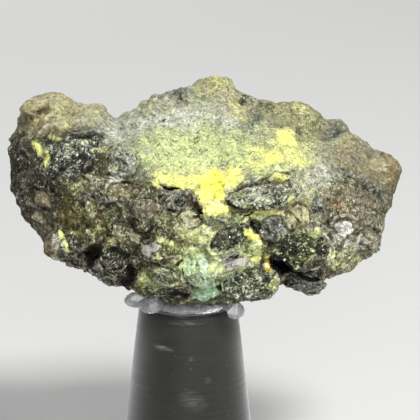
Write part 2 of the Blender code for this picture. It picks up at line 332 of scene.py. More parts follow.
MINT = patches(
    "mint",
    (202, 264, 17, 20, 0, 0.58), (209, 290, 14, 10, 5), (232, 264, 14, 7, 10, 0.25),
    (251, 247, 6, 5, 0, 0.5), (160, 146, 24, 10, 10, 0.35, 0.6), (215, 160, 40, 9, 0, 0.42, 0.6),
    (243, 282, 16, 12, 0, 0.45), (190, 268, 10, 14, 0, 0.5),
)
print(len(LEMON), "lemon,", len(LIME), "lime and", len(MINT), "mint patches")

# %% Black grains, pale quartz dust, rust, and places that no light reaches
INK = patches(
    "ink",
    (70, 154, 30, 21, 20, 0.98), (88, 140, 16, 10, 30, 0.74), (95, 170, 14, 12, 0, 0.42),
    (165, 292, 22, 8, -8, 0.7), (257, 123, 15, 9, 35, 0.46, 0.6), (234, 138, 10, 4, -5, 0.42, 0.5),
    (203, 145, 7, 3, 5, 0.4, 0.5), (266, 108, 11, 5, 0, 0.44, 0.5), (243, 101, 6, 4, 0, 0.65),
    (174, 92, 14, 7, 14, 0.42), (347, 175, 14, 5, -25, 0.56), (374, 190, 12, 7, -30, 0.5),
    (104, 205, 32, 24, 0, 0.4, 0.6), (100, 280, 36, 12, -25, 0.55), (195, 137, 8, 3, 0, 0.45),
    (150, 226, 16, 12, 0, 0.45), (345, 215, 30, 22, 0, 0.3, 0.6), (127, 240, 14, 30, 0, 0.4, 0.6),
    (268, 280, 7, 7, 0, 0.6), (236, 282, 10, 7, 10, 0.6),
)
FROST = patches(
    "frost",
    (122, 130, 34, 13, 12, 0.46, 0.5), (186, 120, 74, 13, 2, 0.46, 0.5), (116, 180, 8, 4, 0, 0.7),
    (56, 240, 6, 8, -10, 0.5), (229, 260, 13, 6, 0, 0.75), (203, 252, 14, 10, 0, 0.55),
    (320, 178, 18, 16, 0, 0.4), (268, 174, 26, 6, 15, 0.5), (300, 188, 10, 14, 10, 0.45),
    (216, 204, 9, 5, 0, 0.35), (345, 243, 26, 16, 0, 0.42), (14, 200, 4, 5, 0, 0.6),
    (205, 226, 8, 5, 0, 0.6), (262, 216, 24, 9, 0, 0.35), (240, 292, 30, 8, 0, 0.35),
    (102, 142, 12, 5, 20, 0.4), (210, 240, 12, 10, 0, 0.45), (332, 256, 10, 8, 20, 0.5),
    (100, 192, 34, 18, 0, 0.34, 0.6), (114, 238, 22, 14, 0, 0.3, 0.6),
)
RUST = patches(
    "rust",
    (338, 205, 7, 4, -15), (372, 240, 8, 12, 0, 0.36), (269, 262, 4, 12, 18, 0.9),
    (256, 237, 3, 4, -30, 0.9), (196, 208, 6, 6, 0, 0.5), (306, 172, 3, 12, 0, 0.4),
    (145, 225, 16, 18, 0, 0.34), (88, 222, 24, 16, 0, 0.3), (36, 125, 8, 6, 0, 0.4),
    (270, 250, 4, 4, 0, 0.5), (345, 215, 26, 12, 0, 0.3), (118, 245, 34, 24, 0, 0.22),
    (284, 215, 3, 8, 0, 0.5), (63, 174, 4, 3, 0, 0.6),
)
DARK = patches(
    "dark",
    (284, 267, 18, 6, -30, 1, 0.25), (277, 259, 7, 4, -50, 1, 0.25), (311, 275, 12, 3, -10, 1, 0.25),
    (93, 257, 7, 8, -25, 0.95), (131, 275, 4, 12, 10, 0.9), (124, 284, 8, 5, -20, 0.8),
    (196, 208, 6, 2, -45, 0.9), (247, 214, 14, 2, 8, 0.7), (152, 228, 8, 2, 20, 0.8),
    (255, 226, 10, 2, -50, 0.8), (215, 178, 3, 2, 0, 0.5), (99, 192, 3, 8, 20, 0.6),
    (90, 168, 8, 4, 20, 0.6), (130, 200, 3, 10, 0, 0.5), (172, 188, 13, 1.5, 2, 0.8),
    (236, 258, 8, 2, 20, 0.7), (160, 119, 2, 2, 0, 0.8), (326, 220, 2, 16, 10, 0.6),
    (101, 168, 2, 12, 8, 0.5), (108, 148, 8, 2, 40, 0.45), (127, 182, 12, 2, 0, 0.7),
    (178, 261, 6, 3, 25, 0.75), (184, 271, 2, 7, 0, 0.6), (221, 286, 2, 6, 20, 0.6),
    (186, 285, 7, 3, 0, 0.6), (175, 296, 14, 4, -6, 0.7), (201, 246, 9, 2, -8, 0.5),
    (196, 213, 5, 2, 35, 0.7), (160, 214, 2, 10, 0, 0.5), (303, 232, 16, 2, -4, 0.5),
    (63, 153, 21, 15, 20, 0.26, 0.6), (50, 148, 8, 6, 30, 0.2, 0.6),
)
PATCHES = by_kind(LEMON, LIME, MINT, INK, FROST, RUST, DARK)
print(sum(len(spots) for spots in PATCHES.values()), "patches of", len(PATCHES), "kinds")

# %% Crusts on the big grains, which take these in place of the rock's own
GRAIN_PATCHES = by_kind(
    patches(
        "lemon",
        (279, 179, 9, 5, 15, 0.62, 0.6), (292, 199, 4.5, 8, -22, 0.5), (190, 231, 8, 3, -10, 0.4),
        (160, 257, 6, 4, 15, 0.34), (252, 236, 6, 4, -35, 0.7),
    ),
    patches(
        "lime",
        (292, 199, 4.5, 8, -22, 0.9), (276, 280, 4, 8, -20, 0.7), (312, 246, 7, 6, 20, 0.55),
        (280, 242, 7, 5, 20, 0.5), (240, 192, 6, 5, 20, 0.62), (262, 184, 14, 5, 20, 0.4),
        (244, 203, 6, 4, 0, 0.5), (308, 234, 18, 5, -5, 0.75), (246, 272, 16, 5, 5, 0.6),
        (168, 264, 12, 5, 0, 0.62), (176, 280, 6, 8, 0, 0.5), (190, 228, 12, 6, -10, 0.6),
    ),
    patches(
        "ink",
        (258, 206, 28, 3, 6, 0.85), (252, 184, 22, 2.5, 12, 0.8), (298, 244, 14, 8, -5, 0.75),
        (237, 284, 11, 6, 5, 0.75), (262, 282, 6, 5, 0, 0.8), (108, 252, 10, 6, 10, 0.8),
        (122, 264, 5, 8, 0, 0.8),
    ),
    patches(
        "frost",
        (308, 234, 18, 5, -5, 0.45), (274, 279, 3, 12, -8, 0.75), (250, 296, 26, 3, 5, 0.6),
        (236, 228, 4, 12, -50, 0.55), (222, 246, 4, 3, 0, 0.65), (116, 180, 8, 4, 0, 0.75),
    ),
    patches("rust", (151, 206, 6, 6, 0, 0.4)),
)
print(sum(len(spots) for spots in GRAIN_PATCHES.values()), "patches for the big grains")

# %% [markdown]
# Under the crusts lies the host rock, and it changes colour from end to end: tan and dusty over the
# lobe and the ridge, brown at the left end, olive and brown low down, blue-grey under the crust,
# and a warm grey on the right. These are broad washes, laid one over another from the first to the
# last, and they blend into each other. A few small dark ones are painted shade in hollows and
# grooves, marked where they stand.


# %% Host rock: named colours
def tone(red, green, blue):
    """A colour given as 0 to 255 screen values, as the linear values that Blender mixes."""
    shares = [value / 255.0 for value in (red, green, blue)]
    return tuple(s / 12.92 if s <= 0.04045 else ((s + 0.055) / 1.055) ** 2.4 for s in shares)


HOSTS = {
    "tan": tone(168, 160, 126),
    "cream": tone(176, 170, 140),
    "straw": tone(158, 154, 116),
    "beige": tone(136, 131, 108),
    "dun": tone(118, 108, 86),
    "brown": tone(52, 45, 36),
    "umber": tone(32, 27, 20),
    "olive": tone(84, 77, 46),
    "grey": tone(160, 162, 142),
    "blue grey": tone(148, 158, 140),
    "slate": tone(104, 106, 98),
    "warm grey": tone(120, 114, 98),
    "charcoal": tone(44, 45, 41),
    "smoky": tone(84, 78, 62),
    "pink tan": tone(158, 146, 118),
    "moss": tone(60, 64, 40),
    "pale sage": tone(172, 180, 142),
    "lilac": tone(158, 156, 160),
    "milk white": tone(204, 204, 206),
    "gold": tone(114, 106, 50),
    "moss green": tone(116, 130, 54),
    "rose grey": tone(122, 111, 94),
    "pale mint": tone(192, 206, 166),
    "teal": tone(156, 210, 166),
    "tip brown": tone(138, 122, 90),
}
print(len(HOSTS), "host colours")


# %% Host rock: broad washes of them
def wash(host, x, y, half_width, half_height, lean=0.0, share=1.0, soft=0.5):
    """A patch of host colour. Its edge is softer than a mineral's."""
    return Patch(host, x, y, half_width, half_height, lean, share, soft)


WASHES = (
    wash("olive", 110, 215, 80, 60), wash("brown", 26, 190, 28, 70),
    wash("umber", 22, 190, 16, 60, 0, 0.6), wash("umber", 38, 190, 13, 30, 0, 0.5),
    wash("umber", 62, 252, 48, 18, -38, 0.7), wash("smoky", 48, 230, 16, 28, 25, 0.85),
    wash("smoky", 27, 168, 9, 20, 0, 0.5), wash("rose grey", 42, 228, 8, 10, 20, 0.45),
    wash("charcoal", 46, 203, 5, 7, 0, 0.6), wash("rose grey", 52, 246, 7, 9, 30, 0.6),
    wash("tan", 62, 108, 54, 24, 5), wash("dun", 22, 128, 12, 14, 20, 0.8),
    # Partly painted shade: the dun and smoky washes at 42, 112 are brown stone darkened for the shade in
    # the hollow under the lobe.
    wash("dun", 42, 112, 12, 5, 12, 0.9, 0.4), wash("smoky", 42, 112, 7, 3, 12, 0.8),
    wash("tan", 84, 114, 24, 9, 0, 0.9), wash("cream", 58, 103, 34, 3, -4, 0.8),
    wash("cream", 62, 123, 28, 3, 17, 0.9), wash("cream", 17, 118, 6, 7, 30, 0.8),
    wash("grey", 190, 118, 85, 40), wash("straw", 214, 84, 30, 16, 0, 0.9),
    wash("straw", 290, 108, 34, 14, 8, 0.8), wash("slate", 176, 90, 16, 8, 14, 0.9),
    wash("slate", 255, 122, 15, 10, 30, 0.75), wash("tip brown", 238, 109, 14, 7, -42, 0.6),
    wash("grey", 120, 132, 38, 18, 10), wash("blue grey", 195, 152, 62, 30),
    wash("warm grey", 330, 205, 50, 60), wash("beige", 345, 140, 60, 40, 25),
    wash("dun", 372, 170, 30, 26, 25, 0.5), wash("tip brown", 391, 165, 14, 12, 0, 0.8),
    # Painted shade: below, the slate wash at 333, 130 darkens a hollow, and the slate and charcoal washes
    # at y 175 to 191 darken the grooves low on the right.
    wash("brown", 392, 168, 3, 3, 0, 0.7), wash("slate", 333, 130, 8, 7, 0, 0.9, 0.4),
    wash("slate", 341, 175, 9, 5, -30, 0.8), wash("slate", 374, 191, 14, 8, -30, 0.95),
    wash("slate", 357, 184, 8, 4, -20, 0.7), wash("slate", 356, 160, 6, 5, 0, 0.5),
    wash("charcoal", 350, 178, 8, 4, -28, 0.4), wash("charcoal", 367, 188, 7, 4, -28, 0.5),
    wash("cream", 376, 165, 9, 6, 25, 0.6), wash("cream", 345, 142, 12, 6, 20, 0.5),
    wash("grey", 316, 172, 20, 22, 0, 0.9), wash("warm grey", 345, 240, 44, 34),
    wash("dun", 345, 200, 30, 14, 0, 0.7), wash("charcoal", 68, 155, 32, 22, 20, 0.95),
    wash("umber", 165, 275, 30, 22, 0, 0.7), wash("umber", 110, 264, 44, 22, -25, 0.8),
    wash("smoky", 150, 215, 26, 26, 0, 0.8), wash("pale sage", 225, 255, 40, 40, 0, 0.95),
    wash("gold", 85, 222, 17, 15, 0, 0.8), wash("gold", 122, 236, 14, 9, 0, 0.6),
    wash("gold", 120, 191, 9, 8, 0, 0.7), wash("gold", 68, 208, 6, 9, 0, 0.7),
    wash("gold", 147, 279, 11, 12, 0, 0.8), wash("gold", 192, 238, 18, 14, 0, 0.8),
    wash("moss green", 166, 243, 14, 5, -28, 0.9), wash("gold", 262, 213, 22, 5, 3, 0.8),
    wash("cream", 290, 212, 20, 22, 0, 0.8), wash("moss", 300, 250, 34, 20, -8, 0.9),
    wash("cream", 88, 185, 9, 8, 0, 0.6), wash("brown", 195, 209, 6, 6, 0, 0.8),
    wash("brown", 130, 226, 16, 8, 0, 0.7), wash("olive", 140, 240, 12, 9, 0, 0.9),
    # Painted shade: the umber wash at 290, 272 darkens the deep hollow low on the right.
    wash("moss green", 254, 248, 9, 11, 20, 0.9), wash("umber", 290, 272, 26, 8, -25, 0.9),
    wash("umber", 250, 298, 40, 5, 0, 0.8),
)
print(len(WASHES), "washes")

# %% [markdown]
# ## Laying the patches on a mesh
#
# The same functions paint the rock and each big grain, so a crust runs across the seam between them.
# They work on whole arrays at once: a hundred thousand points would be slow one by one.
#
# The back and the underside are never seen from the front, so no patch reaches them. There a slow
# noise chooses between the same minerals, which keeps the stone one stone all the way round.

# %% Noise and bent edges
EDGE_WARPS = ((2.4 * MM, 7.0), (0.8 * MM, 3.0))


def noise_of(points, size, seed=0.0):
    """Smooth noise between about -1 and 1 at each point, with lumps of the given size."""
    shift = Vector((seed * 17.3, seed * 5.1, seed * 9.7))
    return np.array([noise.noise(Vector(p) / size + shift) for p in points])


def bent_pixels(points):
    """Frame coordinates and depth of the points, with the coordinates pushed about by noise."""
    x, y, depth = to_pixels(points)
    for seed, (size, reach) in enumerate(EDGE_WARPS):
        x = x + reach * noise_of(points, size, seed + 1)
        y = y + reach * noise_of(points, size, seed + 11)
    return x, y, depth


print("the edges of patches wander by up to", sum(reach for _, reach in EDGE_WARPS), "pixels")

# %% Shares of patches
BASE_DEPTH = 2.5 * MM
DEPTH_PER_SIZE = 1.3


def share_of(spot, x, y, depth, seen=None):
    """How much of one patch lies at each point, near the depth where it is seen."""
    turn = math.radians(spot.lean)
    across = (x - spot.x) * math.cos(turn) - (y - spot.y) * math.sin(turn)
    along = (x - spot.x) * math.sin(turn) + (y - spot.y) * math.cos(turn)
    reach = np.hypot(across / spot.half_width, along / spot.half_height)
    if seen is None:
        seen = to_pixels(np.array([on_rock(spot.x, spot.y)]))[2][0]
    tolerance = BASE_DEPTH + DEPTH_PER_SIZE * PIXEL * max(spot.half_width, spot.half_height)
    near = np.clip(2.0 - np.abs(depth - seen) / tolerance, 0.0, 1.0)
    return spot.share * near * np.clip((1.0 + spot.soft - reach) / (2.0 * spot.soft), 0.0, 1.0)


def share_from(side, spot, points):
    """How much of a patch lies at each point, for a patch placed as seen from one of the sides."""
    seat = np.array([on_rock(spot.x, spot.y, side)])
    seen = to_pixels(seen_from(seat, side))[2][0]
    return share_of(spot, *to_pixels(seen_from(points, side)), seen)


def strongest(spots, x, y, depth, seen=None):
    """The largest share that any of the patches has at each point."""
    most = np.zeros(len(x))
    for spot in spots:
        most = np.maximum(most, share_of(spot, x, y, depth, seen))
    return most


pixels = to_pixels(points_of(rock_mesh))
crusted = np.mean(strongest(LEMON, *pixels) > 0.5)
print("lemon crust on", round(100.0 * crusted), "% of the rock's points")

# %% Shares and colours round the back
BLEND_ROUNDS = 12
WILD_SIZE = 4.5 * MM
WILD_REACH = 0.60
MOST_WILD = 0.9
TURN_AWAY = 2.5
PALE_SIZE = 6.0 * MM
WARM_SIZE = 4.0 * MM
BACK_CONTRAST = 1.3
ROUND_BACK = {
    "lemon": -0.10,
    "lime": 0.02,
    "mint": -0.20,
    "ink": 0.32,
    "frost": 0.26,
    "rust": 0.14,
    "dark": 0.0,
}


def frontness(normals):
    """1 where the surface can be seen from the front, 0 on the back and underneath."""
    return np.clip(1.0 + TURN_AWAY * (normals @ np.array(TOWARDS)), 0.0, 1.0)


def mineral_shares(points, pixels, front):
    """Each mineral's share: its patches in front, and slow noise round the back."""
    shares = {}
    for number, (mineral, usual) in enumerate(ROUND_BACK.items()):
        wild = usual + WILD_REACH * noise_of(points, WILD_SIZE, number + 21)
        wild = np.clip(wild, 0.0, MOST_WILD)
        shares[mineral] = front * strongest(PATCHES[mineral], *pixels) + (1.0 - front) * wild
    return shares


def back_colour(points):
    """Four host colours, mixed by how pale and how warm the stone is at each point."""
    pale = np.clip(0.6 + BACK_CONTRAST * noise_of(points, PALE_SIZE, 31), 0.0, 1.0)[:, None]
    warm = np.clip(0.5 + BACK_CONTRAST * noise_of(points, WARM_SIZE, 32), 0.0, 1.0)[:, None]
    dark_side = warm * np.array(HOSTS["dun"]) + (1.0 - warm) * np.array(HOSTS["charcoal"])
    pale_side = warm * np.array(HOSTS["tan"]) + (1.0 - warm) * np.array(HOSTS["grey"])
    return pale * pale_side + (1.0 - pale) * dark_side


def host_colour(points, pixels, front):
    """The washes, one over another on olive, and the back's own colours round the back."""
    colour = np.tile(np.array(HOSTS["olive"]), (len(points), 1))
    for spot in WASHES:
        part = share_of(spot, *pixels)[:, None]
        colour = colour * (1.0 - part) + np.array(HOSTS[spot.kind]) * part
    return colour * front[:, None] + back_colour(points) * (1.0 - front[:, None])


front = frontness(normals_of(rock_mesh))
print("the front takes", round(100.0 * np.mean(front > 0.5)), "% of the rock's points")


# %% Write the paint on a mesh
def write_shares(mesh, shares):
    """Writes each named array of values from 0 to 1 on the mesh's points."""
    for name, values in shares.items():
        layer = mesh.attributes.new(name, "FLOAT", "POINT")
        layer.data.foreach_set("value", values.astype(np.float32))


def write_colour(mesh, name, colour):
    layer = mesh.attributes.new(name, "FLOAT_COLOR", "POINT")
    rgba = np.hstack([colour, np.ones((len(colour), 1))]).astype(np.float32)
    layer.data.foreach_set("color", rgba.ravel())


def paint(mesh, grain=None):
    """Writes each mineral's share and the host colour on the mesh's points."""
    points = points_of(mesh)
    pixels = bent_pixels(points)
    front = frontness(averaged(mesh, normals_of(mesh), BLEND_ROUNDS))
    shares = mineral_shares(points, pixels, front)
    if grain:
        for mineral, spots in GRAIN_PATCHES.items():
            shares[mineral] = strongest(spots, *pixels)
        for mineral, share in grain.own.items():
            shares[mineral] = np.maximum(shares[mineral], share)
        colour = np.tile(np.array(HOSTS[grain.host]), (len(points), 1))
    else:
        colour = host_colour(points, pixels, front)
    write_shares(mesh, shares)
    write_colour(mesh, "host", colour)


print("paint writes", len(PATCHES), "shares and one colour on every point")

# %% [markdown]
# ## Grain and fracture
#
# Skarn breaks round its grains and not through them. Voronoi cells give that look: each point knows
# its nearest cell centre, so every cell can bulge, tilt and carry a tint of its own, and the seams
# between two cells sink. The dusted brow above is far smoother, so the relief fades out there.

# %% Smooth places and hollows
SMOOTHING = 0.88
SMOOTH_PLACES = patches(
    "smooth",
    (190, 140, 105, 46, 0, 1, 0.25), (215, 88, 46, 22, 0, 0.8, 0.3), (300, 110, 50, 24, 10, 0.85, 0.3),
    (345, 140, 60, 36, 25, 0.85, 0.3), (385, 172, 30, 36, 20, 0.85, 0.4), (60, 110, 60, 28, 5, 0.85, 0.3),
    (22, 180, 20, 60, 0, 0.6, 0.4), (42, 228, 22, 44, -25, 0.6, 0.4),
)


def hollow(drop, x, y, half_width, half_height, lean=0.0, soft=0.5, side=0):
    """A hollow with its depth in mm, or a swelling where the depth is below zero."""
    return SimpleNamespace(
        drop=drop * MM, side=side, spot=Patch("hollow", x, y, half_width, half_height, lean, 1.0, soft)
    )


HOLLOWS = (
    hollow(1.6, 93, 257, 6, 8, -25), hollow(1, 131, 275, 4, 12, 10),
    hollow(1.6, 288, 266, 17, 5, -28, 0.4), hollow(1, 316, 272, 7, 3, -20, 0.4),
    hollow(1, 255, 226, 10, 3, -50), hollow(0.8, 196, 208, 5, 3, -45), hollow(0.5, 160, 119, 2, 2),
    hollow(0.7, 150, 226, 9, 3, 20), hollow(0.7, 262, 246, 3, 10, -20),
    hollow(0.7, 42, 112, 10, 4, 12, 0.6), hollow(0.5, 30, 128, 9, 4, 25, 0.6),
    hollow(-0.35, 62, 123, 28, 3, 17, 0.7), hollow(0.5, 242, 101, 6, 3, 0, 0.6),
    hollow(0.4, 333, 130, 8, 6, 0, 0.6), hollow(0.6, 374, 192, 12, 4, -30, 0.6),
    hollow(0.4, 343, 176, 9, 3, -30, 0.6), hollow(0.25, 234, 138, 10, 3, -5, 0.7),
    hollow(0.25, 191, 137, 5, 2, 0, 0.7),
)
print(len(SMOOTH_PLACES), "smooth places,", len(HOLLOWS), "hollows and swellings in front")

# %% [markdown]
# Nobody looks at the back of a display piece for long, but it still has to be a broken rock face. It
# gets wide hollows and ridges, placed as seen from that side and bent more than those in front, and
# large facets that fade out towards the front.

# %% The back's own hollows
FAR_HOLLOWS = (
    hollow(-0.5, 150, 132, 50, 4, 14, 0.7, side=180), hollow(1.1, 250, 190, 30, 10, -16, side=180),
    hollow(0.9, 120, 158, 15, 9, 10, side=180), hollow(0.9, 300, 142, 20, 9, 22, side=180),
    hollow(0.6, 205, 176, 24, 8, -38, 0.6, side=180), hollow(-0.5, 190, 215, 34, 5, 10, 0.7, side=180),
    hollow(0.7, 205, 185, 16, 22, side=-100), hollow(0.7, 225, 165, 20, 9, -20, side=100),
)
WANDER = 0.5 * MM
WANDER_SIZE = 2.0 * MM
FAR_FACETS = 6.0 * MM
FAR_FACET_HEIGHT = 0.7 * MM
FAR_FACET_SEAM = 0.1
print(len(FAR_HOLLOWS), "hollows and swellings on the far sides")

# %% Tilted cells
WARP = 0.45
WARP_FINENESS = 1.3
TILT = 2.0
TILT_DRAW = 7.3
KIND_DRAW = 3.1
DRIFT_SHIFTS = (Vector((31.4, 0.0, 7.7)), Vector((0.0, 62.8, 3.3)), Vector((17.2, 5.5, 94.2)))


def drift(place):
    """Three smooth noises as one vector. The library's own vector noise changes with the clock."""
    return Vector([noise.noise(place + shift) for shift in DRIFT_SHIFTS])


def cell_relief(points, size, height, seam):
    """Tilted faces and seams of Voronoi cells, and a random number for each cell.

    Every cell draws its tilt and its number at its own centre, each draw in a field of its own.
    """
    rise = np.empty(len(points))
    gap = np.empty(len(points))
    kind = np.empty(len(points))
    for number, point in enumerate(points):
        place = Vector(point) / size
        place += WARP * drift(WARP_FINENESS * place)
        distances, centres = noise.voronoi(place)
        centre = centres[0]
        slope = noise.cell_vector(centre * TILT_DRAW) - Vector((0.5, 0.5, 0.5))
        edge = math.sqrt(max(distances[1], 0.0)) - math.sqrt(max(distances[0], 0.0))
        rise[number] = height * TILT * slope.dot(place - centre)
        gap[number] = max(0.0, 1.0 - edge / seam)
        kind[number] = noise.cell(centre * KIND_DRAW)
    return rise, gap, kind


print("the drift at the middle of the foot is", [round(part, 2) for part in drift(Vector())])

# %% Relief at every size
GRAIN_SIZES = ((2.8 * MM, 0.46 * MM, 0.10), (1.3 * MM, 0.24 * MM, 0.10))
FINE_LUMPS = ((1.6 * MM, 0.16 * MM), (0.70 * MM, 0.13 * MM), (0.36 * MM, 0.12 * MM))
SEAM_SINK = 0.15
CALM_LUMPS = 0.25


def crystal_skin(points, rough):
    """Height, seams and cell numbers of the grain at every size, rough being 0 to 1 at each point."""
    rise = np.zeros(len(points))
    gaps = np.zeros(len(points))
    kinds = np.zeros(len(points))
    for size, height, seam in GRAIN_SIZES:
        cell_rise, gap, kind = cell_relief(points, size, height, seam)
        rise += rough * (cell_rise - SEAM_SINK * height * gap)
        gaps = np.maximum(gaps, gap * rough * min(1.0, size / MM))
        kinds += kind / len(GRAIN_SIZES)
    for seed, (size, height) in enumerate(FINE_LUMPS):
        lumps = height * noise_of(points, size, seed + 41)
        rise += (CALM_LUMPS + (1.0 - CALM_LUMPS) * rough) * lumps
    return rise, gaps, kinds


def even_normals(mesh, rounds=4):
    normals = averaged(mesh, normals_of(mesh), rounds)
    return normals / np.linalg.norm(normals, axis=1)[:, None]


print("grains of", [round(size / MM, 1) for size, _, _ in GRAIN_SIZES], "mm")
print("lumps of", [round(size / MM, 2) for size, _ in FINE_LUMPS], "mm")

# %% [markdown]
# ## The big grains
#
# Two dozen grains stand out of the front: black ones with pale streaks, a smoky brown one, quartz, a
# grey round one. Some more do the same on the back and the two ends. Each is a piece of its own, so
# that its rim is crisp and a dark crack runs round it. A grain is a ball that a few random planes
# have cut flat, which is how a real one breaks, then stretched to its size and laid in a socket
# pressed into the rock. The socket is drawn from the same numbers as the grain.


# %% What one grain is given
def grain(name, x, y, half_width, half_height, lean, depth, proud, host, detail=4, cuts=14, square=2.0,
          side=0, calm=0.5, **own):
    """Place and half sizes in frame pixels, depth and stand-out in mm, and shares of its own.

    Cuts are the planes that flatten it, square above 2 makes it a block, and a calm grain of 0 has
    neither specks nor grit.
    """
    made = SimpleNamespace(**locals())
    made.depth *= MM
    made.proud *= MM
    return made


# %% Grains of the front
BIG_GRAINS = (
    grain("oval_black_grain", 227.5, 238.5, 20, 11.5, 38, 1.8, 0.7, "pale sage", 5,
          ink=0.68, lime=0.2, frost=0.4),
    grain("long_grain", 261, 195, 33, 13, 10, 2, 0.7, "pale sage", 5, 16, 2.4,
          ink=0.5, frost=0.55, lime=0.26),
    grain("long_grain_top", 276, 179, 14.5, 7, 13, 1.4, 0.4, "pale sage", ink=0.5, lime=0.45),
    grain("block_grain", 175, 199, 16, 11, -4, 1.8, 0.6, "warm grey", 5, 8, 5, ink=0.5, frost=0.3),
    grain("block_bead", 180, 203, 7, 6, 0, 1.4, 1.1, "charcoal", 3, ink=0.85),
    grain("round_grey_grain", 122, 163, 18.5, 17, 0, 2, 0.4, "grey", ink=0.48, frost=0.36),
    grain("smoky_grain", 145.5, 209.5, 14, 11, 0, 1.8, 0.6, "warm grey", rust=0.15, ink=0.25),
    grain("moss_lump", 143, 225, 14, 7.5, -6, 1.6, 0.4, "brown", ink=0.45, lime=0.25),
    grain("tan_grain", 189.5, 219.5, 12, 9, -14, 1.4, 0.5, "cream", lime=0.2, frost=0.25),
    grain("dark_lump", 298, 250, 28.5, 20, -5, 2.8, 0.9, "moss", 5, ink=0.82, lime=0.34),
    grain("slate_lump", 273.5, 230, 14, 14, 10, 1.8, 0.5, "slate", ink=0.54, frost=0.35),
    grain("tan_lump", 297, 216, 12, 13, 8, 1.8, 0.6, "cream", lime=0.25, frost=0.2, calm=0.15),
    grain("speckled_grain", 314, 210, 11, 21, 8, 1.6, 0.25, "slate", ink=0.5, frost=0.4),
    grain("low_chip", 303.5, 282.5, 20, 10, -4, 1.6, 0.5, "slate", 4, 10, 2.6, ink=0.45, frost=0.35),
    grain("low_block", 251, 283, 27, 14.5, 7, 2.4, 0.6, "pale sage", 5, 10, 3,
          ink=0.66, frost=0.45, lime=0.22),
    grain("low_dark_grain", 163, 273, 17, 12, -14, 2.2, 0.5, "pale sage", ink=0.5, lime=0.36, frost=0.45),
    grain("left_dark_grain", 114, 259.5, 13, 12, 0, 1.8, 0.5, "umber", ink=0.72, rust=0.35),
    grain("quartz_grain", 153.5, 251, 11.5, 8, -12, 1.3, 0.2, "lilac", 3, 16, 3.2,
          frost=0.12, lime=0.12, calm=0.3),
    grain("quartz_wedge", 343, 227.5, 9.5, 9, -20, 1, 0.4, "milk white", 3, 6, frost=0.5),
    grain("quartz_sheet", 233, 264, 13.5, 6.5, 6, 1, 0.35, "lilac", 3, 8, 2.6, frost=0.3, calm=0.15),
    grain("mint_sheet_left", 190, 266, 8, 10, 15, 1.2, 0.2, "pale mint", 3, 12, 2.8,
          mint=0.2, lime=0.4, frost=0.4),
    grain("mint_sheet_middle", 202, 269, 8, 13, 25, 1.3, 0.25, "pale mint", 3, 12, 2.8,
          mint=0.2, frost=0.5),
    grain("mint_sheet_low", 198, 281, 10, 6, 12, 1.2, 0.2, "pale mint", 3, 12, 2.8, mint=0.4, frost=0.5),
    grain("mint_cluster", 207, 291, 14, 8.5, 4, 1.4, 0.4, "teal", 4, 16, 2.6, mint=0.95),
)
print(len(BIG_GRAINS), "grains in front")

# %% Grains of the back and the ends
FAR_GRAINS = (
    grain("back_black_grain", 150, 185, 21, 14, 20, 1.8, 0.9, "pale sage", ink=0.72, side=180),
    grain("back_grey_grain", 222, 165, 19, 14, -12, 1.8, 0.9, "grey", ink=0.45, frost=0.3, side=180),
    grain("back_tan_grain", 292, 205, 21, 14, 15, 1.8, 0.9, "pink tan", frost=0.3, side=180),
    grain("back_block", 96, 200, 17, 11, -18, 1.8, 0.9, "slate", 4, 8, 5, ink=0.5, side=180),
    grain("back_moss_grain", 205, 238, 25, 14, 6, 2, 0.9, "moss", ink=0.6, lime=0.3, side=180),
    grain("back_dun_grain", 345, 165, 17, 13, 0, 1.8, 0.9, "dun", frost=0.3, side=180),
    grain("back_quartz", 258, 222, 10, 7, -20, 1.3, 0.9, "lilac", 3, 9, frost=0.4, side=180),
    grain("right_black_grain", 236, 205, 15, 11, 25, 1.8, 0.9, "pale sage", ink=0.72, side=112),
    grain("right_tan_grain", 205, 232, 13, 10, -10, 1.6, 0.9, "rose grey", frost=0.2, side=112),
    grain("end_black_grain", 172, 207, 15, 12, 20, 1.8, 0.4, "umber", ink=0.6, rust=0.3, side=-80),
    grain("end_rose_grain", 200, 236, 13, 10, -15, 1.6, 0.4, "rose grey", frost=0.2, ink=0.3, side=-80),
    grain("end_pale_knob", 190, 256, 8, 7, 0, 1.4, 0.6, "beige", 3, 9, frost=0.3, side=-80, calm=0.3),
    grain("end_slate_grain", 160, 266, 15, 11, 30, 1.8, 0.4, "smoky", ink=0.4, rust=0.3, side=-80),
    grain("end_dun_grain", 203, 284, 12, 9, -30, 1.6, 0.4, "dun", frost=0.3, ink=0.3, side=-80),
    grain("left_slate_grain", 170, 190, 16, 12, -20, 1.8, 0.9, "slate", ink=0.6, side=-112),
    grain("left_moss_grain", 200, 232, 15, 11, 12, 1.8, 0.9, "moss", ink=0.5, lime=0.3, side=-112),
)
print(len(FAR_GRAINS), "grains round the back")

# %% Shape of a grain
CUT_NEAREST = 0.62
CUT_FARTHEST = 0.88
GRAZING = 0.05
GRAIN_LUMPS = ((0.9, 0.30, 61), (0.4, 0.12, 81))
SQUARE_SHRINK = 0.06


def cut_ball(directions, cuts, seed):
    """Distance to the surface of a unit ball with random planes cut off it, along each direction."""
    chance = np.random.default_rng(seed)
    reach = np.ones(len(directions))
    for _ in range(cuts):
        normal = chance.normal(size=3)
        normal /= np.linalg.norm(normal)
        plane = chance.uniform(CUT_NEAREST, CUT_FARTHEST)
        facing = directions @ normal
        cut = np.minimum(reach, plane / np.maximum(facing, GRAZING))
        reach = np.where(facing > GRAZING, cut, reach)
    return reach


def grain_shape(directions, g, seed):
    """A cut ball, lumpy and squared off, one unit in radius."""
    lumps = 1.0
    for size, height, shift in GRAIN_LUMPS:
        lumps = lumps + height * noise_of(directions, size, seed + shift)
    squared = np.sum(np.abs(directions) ** g.square, axis=1) ** (-1.0 / g.square)
    squared /= 1.0 + SQUARE_SHRINK * (g.square - 2.0)
    return directions * (cut_ball(directions, g.cuts, seed) * lumps * squared)[:, None]


print("cuts leave at least", CUT_NEAREST, "of a grain's half size")


# %% Lay a grain in its place
GRAIN_SWELL = 1.13


